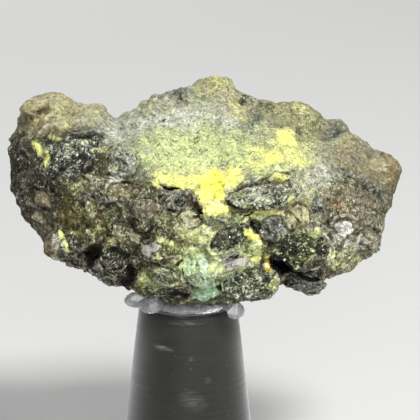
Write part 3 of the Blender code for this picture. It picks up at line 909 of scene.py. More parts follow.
def grain_mesh(g, seed):
    """The grain in its place on the rock, and the direction in which it stands out."""
    bm = bmesh.new()
    bmesh.ops.create_icosphere(bm, subdivisions=g.detail + 1, radius=1.0)
    mesh = finished(bm, g.name)
    shape = grain_shape(points_of(mesh), g, seed)
    lean = math.radians(g.lean)
    spin = turned(g.side)
    across = np.array(spin @ (RIGHT * math.cos(lean) + UP * math.sin(lean)))
    along = np.array(spin @ (UP * math.cos(lean) - RIGHT * math.sin(lean)))
    outward = np.array(spin @ TOWARDS)
    half_width = g.half_width * PIXEL * GRAIN_SWELL
    half_height = g.half_height * PIXEL * GRAIN_SWELL
    middle = np.array(on_rock(g.x, g.y, g.side)) + outward * (g.proud - g.depth)
    points = (
        middle
        + shape[:, :1] * half_width * across
        + shape[:, 1:2] * half_height * along
        + shape[:, 2:] * g.depth * outward
    )
    move_points(mesh, points)
    return mesh, outward


sample = grain_mesh(BIG_GRAINS[0], 0)[0]
print(BIG_GRAINS[0].name, "has", len(sample.polygons), "faces")
bpy.data.meshes.remove(sample)

# %% Sculpt the rock's net
CRUST_THICKNESS = 0.08 * MM
CRUST_FROM = 0.3
CRUST_STEEPNESS = 2.5
SOCKET_DEPTH = 0.6 * MM
SOCKET_ROOM = 1.02
LEAST_SOCKETED = 0.27 * MM


def press_sockets(moved, points):
    """Presses a socket for each grain that stands out, and gives the share of the deepest one."""
    deepest = np.zeros(len(points))
    for g in BIG_GRAINS + FAR_GRAINS:
        if g.proud <= LEAST_SOCKETED:
            continue
        half_width, half_height = SOCKET_ROOM * g.half_width, SOCKET_ROOM * g.half_height
        socket = Patch("socket", g.x, g.y, half_width, half_height, g.lean, 1.0, 0.10)
        share = share_from(g.side, socket, points)
        outward = np.array(turned(g.side) @ TOWARDS)
        moved -= outward * SOCKET_DEPTH * np.maximum(share - deepest, 0.0)[:, None]
        deepest = np.maximum(deepest, share)
    return deepest


def sculpt_rock(mesh):
    """Moves the net's points, and gives the seams, cell numbers, roughness and open places."""
    points = points_of(mesh)
    normals = even_normals(mesh)
    pixels = bent_pixels(points)
    rough = 1.0 - SMOOTHING * strongest(SMOOTH_PLACES, *pixels)
    rise, gaps, kinds = crystal_skin(points, rough)
    crust = CRUST_STEEPNESS * (strongest(LEMON, *pixels) - CRUST_FROM)
    rise += CRUST_THICKNESS * np.clip(crust, 0.0, 1.0)
    for made in HOLLOWS:
        rise -= made.drop * share_of(made.spot, *pixels)
    wandered = points + WANDER * np.array([drift(Vector(p)) for p in points / WANDER_SIZE])
    for made in FAR_HOLLOWS:
        rise -= made.drop * share_from(made.side, made.spot, wandered)
    facets, _, _ = cell_relief(points, FAR_FACETS, FAR_FACET_HEIGHT, FAR_FACET_SEAM)
    rise += (1.0 - frontness(normals)) ** 2 * facets
    moved = points + normals * rise[:, None]
    deepest = press_sockets(moved, points)
    move_points(mesh, moved)
    return {"gap": gaps, "kind": kinds, "rough": rough, "open": deepest < 0.5}


sculpted = sculpt_rock(rock_mesh)
print("sockets take", round(100.0 * np.mean(~sculpted["open"])), "% of the rock's points")

# %% Hollow and proud places, and facets
SHARP_EDGE = math.radians(24.0)
SKIN_KEPT = 0.62


def write_relief(mesh, reach, rounds):
    """A share below 0.5 in hollows and above it on edges, from how far each point stands out."""
    points = points_of(mesh)
    proud = np.einsum("ij,ij->i", points - averaged(mesh, points, rounds), normals_of(mesh))
    write_shares(mesh, {"relief": np.clip(0.5 + proud / reach, 0.0, 1.0)})


def crisp(mesh):
    """Smooth within a grain and sharp at its edges."""
    mesh.shade_smooth()
    mesh.set_sharp_from_angle(angle=SHARP_EDGE)


def fewer_facets(mesh, kept):
    """The mesh with this share of its facets, which are then larger."""
    worn = placed(mesh.name, mesh)
    worn.modifiers.new("fewer facets", "DECIMATE").ratio = kept
    return plain_mesh(worn, mesh.name)


paint(rock_mesh)
write_shares(rock_mesh, sculpted)
write_relief(rock_mesh, reach=0.35 * MM, rounds=14)
rock_mesh = fewer_facets(rock_mesh, SKIN_KEPT)
crisp(rock_mesh)
rock = placed("skarn_rock", rock_mesh)
print("rock skin:", len(rock.data.polygons), "faces")

# %% Make and paint the grains
GRAIN_RELIEF = 0.45
FACING_FROM = -0.1
grains = []
for seed, g in enumerate(BIG_GRAINS + FAR_GRAINS):
    mesh, outward = grain_mesh(g, seed)
    points = points_of(mesh)
    rise, gaps, kinds = crystal_skin(points, np.full(len(points), GRAIN_RELIEF))
    move_points(mesh, points + even_normals(mesh, 2) * rise[:, None])
    paint(mesh, g)
    facing = normals_of(mesh) @ outward > FACING_FROM
    write_shares(mesh, {"gap": 0.5 * gaps, "kind": kinds, "rough": g.calm * facing, "open": facing})
    write_relief(mesh, reach=0.25 * MM, rounds=8)
    crisp(mesh)
    grains.append(placed(g.name, mesh))
print(len(grains), "grains,", sum(len(g.data.polygons) for g in grains), "faces")

# %% [markdown]
# ## One material for rock and crusts
#
# Every mineral is a colour with its own share. A share is compared with fine noise: where the noise
# wins, the mineral shows. The edge between two minerals is then as grainy as the real one, at any
# distance. The layers go on one over another: host, rust, frost, mint, lime, the black grains that
# stand out through all of these, and the lemon crust last.


# %% Helpers for node trees
def new_material(name):
    made = bpy.data.materials.new(name)
    made.use_nodes = True
    made.node_tree.nodes.clear()
    return made


class Nodes:
    """Adds nodes to a tree, with their inputs given as values or as sockets to link."""

    def __init__(self, tree):
        self.tree = tree

    def add(self, kind, **settings):
        made = self.tree.nodes.new(kind)
        for name, value in settings.items():
            setattr(made, name, value)
        return made

    def put(self, socket, value):
        if isinstance(value, bpy.types.NodeSocket):
            self.tree.links.new(value, socket)
        elif isinstance(value, tuple) and len(value) < len(socket.default_value):
            socket.default_value = (*value, 1.0)
        else:
            socket.default_value = value

    def node(self, kind, inputs=None, **settings):
        """A node with its inputs named or numbered, and its first output."""
        made = self.add(kind, **settings)
        shown = [socket for socket in made.inputs if socket.enabled]
        for key, value in (inputs or {}).items():
            self.put(shown[key] if isinstance(key, int) else next(i for i in shown if i.name == key), value)
        return next(socket for socket in made.outputs if socket.enabled)

    def math(self, operation, first, second=0.0, third=0.0, clamp=False):
        made = self.add("ShaderNodeMath", operation=operation, use_clamp=clamp)
        for socket, value in zip(made.inputs, (first, second, third)):
            self.put(socket, value)
        return made.outputs[0]

    def times(self, first, second):
        return self.math("MULTIPLY", first, second)

    def less(self, first, second):
        return self.math("SUBTRACT", first, second)

    def line(self, value, slope, start):
        """A straight line: the value times a slope, from a start."""
        return self.math("MULTIPLY_ADD", value, slope, start)


print("node helpers:", [name for name in vars(Nodes) if not name.startswith("_")])


# %% Helpers for materials
class Shading(Nodes):
    """Short names for the few node kinds that the materials here are made of."""

    def __init__(self, material):
        super().__init__(material.node_tree)
        self.place = self.add("ShaderNodeTexCoord").outputs["Object"]

    def attribute(self, name, output="Fac"):
        return self.add("ShaderNodeAttribute", attribute_name=name).outputs[output]

    def blend(self, share, first, second):
        """A number between two others."""
        made = self.add("ShaderNodeMix", data_type="FLOAT")
        for socket, value in zip(made.inputs[0:1] + made.inputs[2:4], (share, first, second)):
            self.put(socket, value)
        return made.outputs[0]

    def mix(self, share, first, second, blend="MIX"):
        """A colour between two others."""
        made = self.add("ShaderNodeMix", data_type="RGBA", blend_type=blend)
        for socket, value in zip(made.inputs[0:1] + made.inputs[6:8], (share, first, second)):
            self.put(socket, value)
        return made.outputs[2]

    def dim(self, colour, value):
        """The colour with its brightness multiplied by a value."""
        grey = self.add("ShaderNodeCombineColor")
        for socket in grey.inputs:
            self.put(socket, value)
        return self.mix(1.0, colour, grey.outputs[0], "MULTIPLY")

    def ramp(self, value, low, high, out_low=0.0, out_high=1.0):
        made = self.add("ShaderNodeMapRange", clamp=True)
        for socket, number in zip(made.inputs, (value, low, high, out_low, out_high)):
            self.put(socket, number)
        return made.outputs["Result"]

    def bump(self, height, distance, strength=1.0, under=None):
        made = self.add("ShaderNodeBump")
        made.inputs["Strength"].default_value = strength
        made.inputs["Distance"].default_value = distance
        self.put(made.inputs["Height"], height)
        if under:
            self.put(made.inputs["Normal"], under)
        return made.outputs["Normal"]

    def principled(self, **inputs):
        shader = self.add("ShaderNodeBsdfPrincipled")
        for name, value in inputs.items():
            self.put(shader.inputs[name.replace("_", " ")], value)
        out = self.add("ShaderNodeOutputMaterial")
        self.tree.links.new(shader.outputs[0], out.inputs["Surface"])


print("shading helpers:", [name for name in vars(Shading) if not name.startswith("_")])


# %% Helpers for noise and crystals in a material
class Patterns(Shading):
    """Noise and crystal cells by their real size."""

    def shifted(self, seed, stretch=(1.0, 1.0, 1.0), turn=0.0):
        """The place turned about the depth axis, then moved by the seed and drawn out."""
        place = self.place
        if turn:
            turned_place = self.add("ShaderNodeVectorRotate", rotation_type="Y_AXIS")
            self.put(turned_place.inputs["Vector"], place)
            turned_place.inputs["Angle"].default_value = turn
            place = turned_place.outputs["Vector"]
        made = self.add("ShaderNodeMapping")
        self.put(made.inputs["Vector"], place)
        made.inputs["Location"].default_value = (0.013 * seed, 0.007 * seed, 0.011 * seed)
        made.inputs["Scale"].default_value = stretch
        return made.outputs["Vector"]

    def grain(self, size, detail=2.0, rough=0.6, seed=0.0, stretch=(1.0, 1.0, 1.0), turn=0.0, swirl=0.0):
        """Noise from 0 to 1 with lumps of about the given size, drawn out into streaks by a swirl."""
        made = self.add("ShaderNodeTexNoise")
        self.put(made.inputs["Vector"], self.shifted(seed, stretch, turn))
        made.inputs["Scale"].default_value = 1.0 / size
        made.inputs["Detail"].default_value = detail
        made.inputs["Roughness"].default_value = rough
        made.inputs["Distortion"].default_value = swirl
        return made.outputs["Fac"]

    def vector(self, operation, first, second):
        return self.node("ShaderNodeVectorMath", {0: first, 1: second}, operation=operation)

    def crystals(self, size, seed):
        """Cells of the given size: a random number for each, and the height of its tilted face."""
        place = self.shifted(seed)
        cell = self.add("ShaderNodeTexVoronoi", feature="F1")
        self.put(cell.inputs["Vector"], place)
        cell.inputs["Scale"].default_value = 1.0 / size
        slope = self.vector("SUBTRACT", cell.outputs["Color"], (0.5, 0.5, 0.5))
        offset = self.vector("SUBTRACT", place, cell.outputs["Position"])
        height = self.times(self.vector("DOT_PRODUCT", offset, slope), 1.0 / size)
        split = self.add("ShaderNodeSeparateColor")
        self.put(split.inputs[0], cell.outputs["Color"])
        return split.outputs[1], height


print("pattern helpers:", [name for name in vars(Patterns) if not name.startswith("_")])


# %% The rock's own tree
class Stone(Patterns):
    """The patterns that several layers of the rock share, each made once."""

    def __init__(self, material):
        super().__init__(material)
        self.rough = self.attribute("rough")
        self.fine = self.grain(0.22 * MM, 3.0, 0.7, 1, swirl=0.8)
        self.dust = self.ramp(self.grain(0.45 * MM, 4.0, 0.95, 33, swirl=0.5), 0.40, 0.60)
        self.cluster = self.grain(1.3 * MM, 3.0, 0.6, 15, swirl=1.0)
        _, self.big_face = self.crystals(0.60 * MM, 3)
        self.small_kind, self.small_face = self.crystals(0.25 * MM, 4)


print("the rock's tree builds on", [kind.__name__ for kind in Stone.__mro__[1:-1]])


# %% Bare host rock
def host_tint(s):
    """Slow changes of hue from warm to cool and from neutral to olive."""
    warmth = s.ramp(s.grain(1.6 * MM, 3.0, 0.6, 22), 0.38, 0.62)
    green = s.ramp(s.grain(2.4 * MM, 3.0, 0.6, 23), 0.42, 0.64)
    tint = s.mix(warmth, (0.97, 0.99, 1.02), (1.05, 0.99, 0.90))
    return s.mix(green, tint, s.mix(1.0, tint, (0.98, 1.04, 0.84), "MULTIPLY"))


def mottled(s, colour, share, pattern, low, high, dark, bright):
    """The colour made darker and brighter by a pattern, which shows as far as its share goes."""
    return s.dim(colour, s.ramp(s.blend(share, 0.5, pattern), low, high, dark, bright))


def host_rock(s):
    """The washes, mottled at every size. The smooth places keep hardly more than the speckle."""
    clouds = s.grain(1.1 * MM, 4.0, 0.65, 24, swirl=1.5)
    streaks = s.grain(0.45 * MM, 3.0, 0.6, 25, swirl=2.5)
    specks = s.ramp(s.grain(0.50 * MM, 4.0, 0.95, 31, swirl=0.5), 0.41, 0.59)
    host = s.mix(1.0, s.attribute("host", "Color"), host_tint(s), "MULTIPLY")
    host = mottled(s, host, s.rough, clouds, 0.32, 0.68, 0.60, 1.40)
    host = mottled(s, host, s.rough, streaks, 0.35, 0.65, 0.55, 1.45)
    host = mottled(s, host, s.rough, s.attribute("kind"), 0.0, 1.0, 0.85, 1.15)
    host = s.dim(host, s.ramp(s.fine, 0.3, 0.7, 0.70, 1.30))
    return mottled(s, host, s.line(s.rough, 0.72, 0.22), specks, 0.0, 1.0, 0.40, 1.60)


print("the palest host colour is", max(HOSTS, key=lambda name: sum(HOSTS[name])))

# %% Minerals: pairs of colours that each one runs between
TONES = {
    "rust": (tone(92, 66, 44), tone(152, 118, 80)),
    "frost": (tone(166, 167, 158), tone(232, 233, 224)),
    "mint": (tone(148, 200, 152), tone(214, 234, 202)),
    "lime": (tone(166, 178, 100), tone(222, 230, 166)),
    "lemon": (tone(226, 228, 150), tone(250, 246, 104)),
    "ink": (tone(6, 6, 6), tone(46, 48, 38)),
    "dull streak": (tone(118, 120, 104), tone(132, 140, 74)),
    "pale streak": (tone(226, 228, 216), tone(212, 220, 150)),
    "vein": (tone(204, 200, 172), tone(250, 250, 200)),
    # The edge pair is partly wear and partly a painted highlight on the proud edges.
    "edge": (tone(176, 174, 150), tone(240, 240, 190)),
}
ORANGE = tone(232, 178, 70)
# The pit colour is a painted shade for small pits that the mesh does not have.
PIT = tone(24, 22, 15)
PEPPER = tone(66, 66, 42)
# The salt colour is partly pale dust and partly a painted glint.
SALT = tone(232, 233, 214)
SEAM = tone(30, 25, 18)
DEEP_SHADE = tone(14, 12, 9)
print(len(TONES), "pairs of mineral colours")


# %% Black grains and lemon crust
def black_grains(s):
    """Near black stone with pale streaks, which are greener where there is lime."""
    shade = s.grain(1.0 * MM, 4.0, 0.65, 26, swirl=1.4)
    drawn = s.grain(0.30 * MM, 4.0, 0.95, 35, (0.55, 1.0, 1.2), math.radians(35.0), 0.3)
    drawn = s.blend(0.30, s.ramp(drawn, 0.40, 0.60), s.dust)
    bright = s.line(s.less(s.cluster, 0.5), 1.6, drawn)
    bright = s.line(s.less(s.rough, 0.5), 0.3, bright)
    limy = s.ramp(s.attribute("lime"), 0.10, 0.40)
    ink = s.mix(s.ramp(shade, 0.49, 0.58), *TONES["ink"])
    ink = s.dim(ink, s.ramp(s.fine, 0.3, 0.7, 0.50, 1.50))
    ink = s.mix(s.ramp(bright, 0.62, 0.84), ink, s.mix(limy, *TONES["dull streak"]))
    return s.mix(s.ramp(bright, 0.86, 1.00), ink, s.mix(limy, *TONES["pale streak"]))


def lemon_crust(s):
    """Deeper yellow where the crust is thick, and orange where there is rust in it."""
    lemon = s.mix(s.ramp(s.attribute("lemon"), 0.45, 0.95), *TONES["lemon"])
    lemon = s.mix(s.ramp(s.attribute("rust"), 0.55, 0.90), lemon, ORANGE)
    return s.dim(lemon, s.ramp(s.fine, 0.3, 0.7, 0.80, 1.14))


print("near black is", [round(part, 3) for part in TONES["ink"][0]], "in linear values")


# %% Minerals one over another
def mineral_layers(s):
    """Minerals from the lowest: size of the specks in mm, how sharp they are, their spread, colour."""
    coarse = s.grain(0.9 * MM, 3.0, 0.6, 2)
    return (
        ("rust", 0.45, 2.5, 1.8, s.mix(s.fine, *TONES["rust"])),
        ("frost", 0.24, 3.0, 1.8, s.mix(s.small_kind, *TONES["frost"])),
        ("mint", 0.50, 2.5, 1.6, s.mix(coarse, *TONES["mint"])),
        ("lime", 0.22, 2.5, 2.0, s.mix(s.fine, *TONES["lime"])),
        ("ink", 0.34, 4.0, 1.8, black_grains(s)),
        ("lemon", 0.24, 2.2, 1.9, lemon_crust(s)),
    )


CLOUD_WIDTH = 4.0


def speckled(s, mineral, size, seed, sharp, spread):
    """A mineral's share, broken up into grains of the given size and into wider clouds."""
    fine = s.grain(size, 3.0, 0.65, seed)
    cloud = s.grain(CLOUD_WIDTH * size, 3.0, 0.6, seed + 30)
    speck = s.blend(s.line(s.rough, 0.40, 0.20), fine, cloud)
    speck = s.line(speck, spread, -0.5 * spread)
    above = s.less(s.math("ADD", s.attribute(mineral), speck), 0.5)
    return s.math("MULTIPLY_ADD", above, sharp, 0.5, clamp=True)


print("clouds of a mineral are", CLOUD_WIDTH, "times as wide as its grains")


# %% Painted shade of pits, dust, and pale specks that are partly painted glints
def dusted(s, colour, masks, crust, pepper):
    """Painted shade of small pits in the bare stone, then dark grains of dust, and pale specks, partly dust
    and partly painted glints.
    """
    # Painted shade: near-black spots for small pits in the bare stone.
    pits = s.ramp(s.grain(0.42 * MM, 3.0, 0.6, 18, swirl=1.2), 0.56, 0.66)
    pits = s.times(pits, s.times(s.rough, s.line(crust, -0.6, 0.9)))
    colour = s.mix(pits, colour, PIT)
    colour = s.mix(pepper, colour, PEPPER)
    # Partly painted glints: near-white specks, which also stand for pale grains of dust.
    salt = s.times(s.ramp(s.dust, 0.92, 0.99), s.line(s.rough, 0.60, 0.20))
    salt = s.times(salt, s.line(masks["ink"], -0.6, 1.0))
    return s.mix(salt, colour, SALT)


print("salt is", round(SALT[1] / PEPPER[1]), "times as bright as pepper")


# %% Veins, pale edges that are partly a painted highlight, and painted shade
def veined(s, colour, crust):
    """Thin pale veins, dark seams between the grains, and pale edges that are partly wear and partly a
    painted highlight.
    """
    veins = s.math("ABSOLUTE", s.less(s.grain(0.85 * MM, 2.0, 0.55, 27, swirl=1.2), 0.5))
    veins = s.times(s.ramp(veins, 0.0, 0.028, 1.0, 0.0), s.ramp(s.cluster, 0.42, 0.54))
    veins = s.times(s.times(veins, s.rough), 0.38)
    colour = s.mix(veins, colour, s.mix(crust, *TONES["vein"]))
    seams = s.times(s.attribute("gap"), s.line(crust, -0.7, 1.0))
    colour = s.mix(s.times(seams, 0.25), colour, SEAM)
    # Partly painted highlight: the proudest edges are made paler, for wear and for the light that catches
    # them.
    edges = s.times(s.ramp(s.attribute("relief"), 0.72, 0.95), s.times(s.rough, 0.38))
    return s.mix(edges, colour, s.mix(crust, *TONES["edge"]))


def shaded(s, colour):
    """Painted shade: darker in the hollows, and nearly black where no light gets in."""
    colour = s.dim(colour, s.ramp(s.attribute("relief"), 0.0, 0.70, 0.58, 1.05))
    shade = s.line(s.grain(0.4 * MM, 2.0, 0.6, 19), 0.8, -0.4)
    shade = s.ramp(s.math("ADD", s.attribute("dark"), shade), 0.35, 0.65)
    return s.mix(shade, colour, DEEP_SHADE)


print("the deepest shade is", [round(part, 3) for part in DEEP_SHADE])


# %% Shine and bumps
BIG_BUMP = 0.60 * MM
SMALL_BUMP = 0.25 * MM
GRAIN_BUMP = 0.10 * MM


def rock_surface(s, masks, crust, pepper):
    """How rough the stone is, and its bumps: big crystal faces, small ones and the fine grain."""
    glint = s.times(s.ramp(s.small_kind, 0.80, 0.82), s.rough)
    shine = s.math("MAXIMUM", s.math("MAXIMUM", masks["ink"], s.times(masks["frost"], 0.7)), glint)
    faces = s.line(crust, -0.6, 1.0)
    normal = s.bump(s.times(s.big_face, faces), BIG_BUMP, 0.8)
    normal = s.bump(s.times(s.small_face, faces), SMALL_BUMP, 0.8, normal)
    normal = s.bump(s.less(s.fine, s.times(pepper, 0.6)), GRAIN_BUMP, 0.9, normal)
    return s.line(shine, -0.50, 0.85), normal


print("bumps of up to", BIG_BUMP / MM, "mm")


# %% The rock's material
def rock_material():
    made = new_material("skarn with pottsite")
    s = Stone(made)
    colour = host_rock(s)
    masks = {}
    for seed, (name, size, sharp, spread, layer) in enumerate(mineral_layers(s)):
        masks[name] = speckled(s, name, size * MM, seed + 5, sharp, spread)
        colour = s.mix(masks[name], colour, layer)
    crust = s.math("MAXIMUM", masks["lime"], masks["lemon"])
    pepper = s.times(s.ramp(s.dust, 0.04, 0.14, 1.0, 0.0), s.line(masks["lemon"], -0.55, 0.80))
    colour = dusted(s, colour, masks, crust, pepper)
    colour = veined(s, colour, crust)
    colour = shaded(s, colour)
    roughness, normal = rock_surface(s, masks, crust, pepper)
    s.principled(Base_Color=colour, Roughness=roughness, Specular_IOR_Level=0.2, Normal=normal)
    return made


ROCK_LOOK = rock_material()
for stone in (rock, *grains):
    stone.data.materials.append(ROCK_LOOK)
print(ROCK_LOOK.name, "has", len(ROCK_LOOK.node_tree.nodes), "nodes")

# %% [markdown]
# ## Grit and crystals by Geometry Nodes
#
# Thousands of grains the size of sugar lie on the stone, and each is a small solid with flat faces.
# Nobody places those by hand. One node tree throws points over the stones where a mineral's share is
# high enough, keeps them a set distance apart, and puts a small broken shape on each, with a size and
# a turn of its own. The points carry the painted shares with them, so each grain knows what it is.
#
# The tree ends in Realize Instances: an instance is only a reference, and most exports drop it.


# %% Small shapes to scatter
def hull_of(name, corners):
    """A closed solid round a cloud of corners, with flat faces."""
    bm = bmesh.new()
    for corner in corners:
        bm.verts.new(corner)
    bmesh.ops.convex_hull(bm, input=bm.verts)
    bmesh.ops.delete(bm, geom=[v for v in bm.verts if not v.link_faces], context="VERTS")
    bmesh.ops.recalc_face_normals(bm, faces=bm.faces)
    return bpy.data.objects.new(name, finished(bm, name))


def collected(name, objects):
    """A collection of these objects, kept out of the scene."""
    kept = bpy.data.collections.new(name)
    for obj in objects:
        kept.objects.link(obj)
    return kept


def hulls(name, each, clouds):
    """A collection of hulls, one round each cloud of corners."""
    return collected(name, [hull_of(f"{each} {number}", cloud) for number, cloud in enumerate(clouds)])


def broken_corners(chance, count, flat=1.0):
    """Corners spread over a ball at uneven distances, pressed flat if asked."""
    corners = chance.normal(size=(count, 3))
    corners /= np.linalg.norm(corners, axis=1)[:, None]
    return corners * chance.uniform(0.75, 1.1, size=(count, 1)) * (1.0, 1.0, flat)


def bipyramid(half_height):
    """Eight faces: a square waist, a point above and a point below."""
    waist = [(1, 0, 0), (0, 1, 0), (-1, 0, 0), (0, -1, 0)]
    return np.array(waist + [(0, 0, half_height), (0, 0, -half_height)], float)


chance = np.random.default_rng(7)
BROKEN = hulls("broken grains", "grain", [broken_corners(chance, 11) for _ in range(6)])
FLAKES = hulls("flakes", "flake", [broken_corners(chance, 9, 0.25) for _ in range(4)])
PYRAMIDS = hulls("bipyramids", "crystal", [bipyramid(half_height) for half_height in (1.0, 1.4)])
OTHER_STONES = collected("other stones", grains)

# %% A geometry node tree with named inputs
class Tree(Nodes):
    """A geometry node tree with named inputs and one geometry output."""

    def __init__(self, name, inputs):
        super().__init__(bpy.data.node_groups.new(name, "GeometryNodeTree"))
        for title, kind in inputs.items():
            self.tree.interface.new_socket(title, in_out="INPUT", socket_type="NodeSocket" + kind)
        self.tree.interface.new_socket("Geometry", in_out="OUTPUT", socket_type="NodeSocketGeometry")
        self.given = self.add("NodeGroupInput").outputs

    def finish(self, geometry):
        self.put(self.add("NodeGroupOutput").inputs[0], geometry)

    def chance_of(self, low, high, shift, kind="FLOAT"):
        """A random value for each point. The shift keeps it apart from the others."""
        seed = self.math("ADD", self.given["Seed"], float(shift))
        return self.node("FunctionNodeRandomValue", {"Min": low, "Max": high, "Seed": seed}, data_type=kind)

    def scaled(self, vector, amount):
        return self.node("ShaderNodeVectorMath", {0: vector, "Scale": amount}, operation="SCALE")

    def painted(self, name):
        return self.node("GeometryNodeInputNamedAttribute", {"Name": name}, data_type="FLOAT")


def run_tree(g, obj, **values):
    """Puts the tree on the object, with its inputs set by their titles."""
    modifier = obj.modifiers.new(g.tree.name, "NODES")
    modifier.node_group = g.tree
    for item in g.tree.interface.items_tree:
        if item.in_out == "INPUT" and item.name in values:
            modifier[item.identifier] = values[item.name]


print("tree helpers:", [name for name in vars(Tree) if not name.startswith("_")])

# %% The scattering tree: what it is given
GRIT_INPUTS = {
    "Geometry": "Geometry",
    "Other Stones": "Collection",
    "Shapes": "Collection",
    "Share": "String",
    "Least Share": "Float",
    "Spacing": "Float",
    "Smallest": "Float",
    "Largest": "Float",
    "Slimmest": "Float",
    "Proud": "Float",
    "Lie Flat": "Float",
    "Seed": "Int",
    "Look": "Material",
}
DENSITY_PER_SHARE = 5.0
THROWS_PER_SPACING = 2.5
WOBBLE = 0.3
ANY_TURN = (math.tau, math.tau, math.tau)
NO_TURN = (0.0, 0.0, 0.0)

g = Tree("grit over stones", GRIT_INPUTS)
print(g.tree.name, "takes", len(GRIT_INPUTS), "inputs")

# %% Where: all stones, thinned by the mineral's share and kept apart by the spacing
others = g.node("GeometryNodeCollectionInfo", {"Collection": g.given["Other Stones"]})
stones = g.add("GeometryNodeJoinGeometry")
g.put(stones.inputs[0], g.node("GeometryNodeRealizeInstances", {"Geometry": others}))
g.put(stones.inputs[0], g.given["Geometry"])
wanted = g.less(g.painted(g.given["Share"]), g.given["Least Share"])
density = g.math("MULTIPLY", wanted, DENSITY_PER_SHARE, clamp=True)
points = g.node("GeometryNodeDistributePointsOnFaces", {
    "Mesh": stones.outputs[0],
    "Distance Min": g.given["Spacing"],
    "Density Max": g.times(g.math("POWER", g.given["Spacing"], -2.0), THROWS_PER_SPACING),
    "Density Factor": g.times(density, g.painted("open")),
    "Seed": g.given["Seed"],
}, distribute_method="POISSON")
thrown = points.node.outputs
print(g.tree.name, "has", len(g.tree.nodes), "nodes so far")

# %% How: a size of its own, sunk into the face or proud of it, and turned any way or laid flat
size = g.chance_of(g.given["Smallest"], g.given["Largest"], 1)
offset = g.scaled(thrown["Normal"], g.times(size, g.given["Proud"]))
points = g.node("GeometryNodeSetPosition", {"Geometry": points, "Offset": offset})
any_turn = g.chance_of(NO_TURN, ANY_TURN, 2, "FLOAT_VECTOR")
flat_turn = g.node("FunctionNodeRotateRotation", {
    "Rotation": thrown["Rotation"],
    "Rotate By": g.chance_of(NO_TURN, (WOBBLE, WOBBLE, math.tau), 3, "FLOAT_VECTOR"),
}, rotation_space="LOCAL")
turn = g.node("ShaderNodeMix", {0: g.given["Lie Flat"], 1: any_turn, 2: flat_turn}, data_type="ROTATION")
slim = g.node("ShaderNodeCombineXYZ", {axis: g.given["Slimmest"] for axis in "XYZ"})
stretch = g.chance_of(slim, (1.0, 1.0, 1.0), 4, "FLOAT_VECTOR")
print("a flat grain wobbles by up to", round(math.degrees(WOBBLE)), "degrees")

# %% What: one of the shapes, with a random number written on it for the material
shapes = g.node("GeometryNodeCollectionInfo", {
    "Collection": g.given["Shapes"],
    "Separate Children": True,
    "Reset Children": True,
})
laid = g.node("GeometryNodeInstanceOnPoints", {
    "Points": points,
    "Instance": shapes,
    "Pick Instance": True,
    "Instance Index": g.chance_of(0, 99, 5, "INT"),
    "Rotation": turn,
    "Scale": g.scaled(stretch, size),
})
laid = g.node("GeometryNodeStoreNamedAttribute", {
    "Geometry": laid,
    "Name": "kind",
    "Value": g.chance_of(0.0, 1.0, 6),
}, data_type="FLOAT", domain="INSTANCE")
grit = g.node("GeometryNodeRealizeInstances", {"Geometry": laid})
grit = g.node("GeometryNodeSetShadeSmooth", {"Geometry": grit, "Shade Smooth": False})
grit = g.node("GeometryNodeSetMaterial", {"Geometry": grit, "Material": g.given["Look"]})
g.finish(grit)
GRIT_TREE = g
print(g.tree.name, "has", len(g.tree.nodes), "nodes")


# %% Grit materials
def plain_crystal(name, colour, roughness, **more):
    made = new_material(name)
    s = Shading(made)
    shade = s.ramp(s.attribute("kind"), 0.0, 1.0, 0.7, 1.2)
    s.principled(Base_Color=s.dim(colour, shade), Roughness=roughness, **more)
    return made


MAGNETITE_LOOK = plain_crystal("magnetite", tone(20, 20, 20), 0.30)
QUARTZ_LOOK = plain_crystal("quartz", tone(226, 227, 212), 0.25, Transmission_Weight=0.2, IOR=1.54)
print("materials:", MAGNETITE_LOOK.name, "and", QUARTZ_LOOK.name)


# %% Scatter six kinds of grit
class Grit(NamedTuple):
    """What is scattered and where. Spacing and sizes are in mm, proud is a share of the size."""

    name: str
    shapes: object
    look: object
    share: str
    least_share: float
    spacing: float
    smallest: float
    largest: float
    slimmest: float
    proud: float
    lie_flat: float = 0.0


GRIT_KINDS = (
    Grit("coarse_grit", BROKEN, ROCK_LOOK, "rough", 0.55, 1.50, 0.20, 0.60, 0.5, -0.45),
    Grit("fine_grit", BROKEN, ROCK_LOOK, "rough", 0.45, 0.62, 0.10, 0.28, 0.5, -0.2),
    Grit("magnetite_crystals", PYRAMIDS, MAGNETITE_LOOK, "ink", 0.45, 0.80, 0.08, 0.34, 0.6, -0.3),
    Grit("quartz_flakes", FLAKES, QUARTZ_LOOK, "ink", 0.50, 0.80, 0.08, 0.20, 0.4, 0.3, lie_flat=1.0),
    Grit("lemon_crystals", PYRAMIDS, ROCK_LOOK, "lemon", 0.35, 0.24, 0.07, 0.15, 0.8, 0.0),
    Grit("lime_crystals", PYRAMIDS, ROCK_LOOK, "lime", 0.35, 0.30, 0.07, 0.14, 0.8, 0.0),
)


def scattered(kind, seed):
    """Small shapes all over the rock and its grains, as one plain mesh."""
    carrier = placed(kind.name, rock.data)
    values = {field.replace("_", " ").title(): value for field, value in kind._asdict().items()}
    for title in ("Spacing", "Smallest", "Largest"):
        values[title] *= MM
    values["Other Stones"] = OTHER_STONES
    run_tree(GRIT_TREE, carrier, **values, Seed=seed)
    made = placed(kind.name, plain_mesh(carrier, kind.name))
    print(kind.name, "has", len(made.data.polygons), "faces")
    return made


GRIT = [scattered(kind, number + 1) for number, kind in enumerate(GRIT_KINDS)]


# %% Hand the stones over
def hand_over(piece, node):
    """Says that this piece moves with the body and takes the node's place."""
    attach(piece, "root")
    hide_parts(node)


for stone in (rock, *grains, *GRIT):
    hand_over(stone, "rock")
print(1 + len(grains) + len(GRIT), "pieces stand for the packed rock")

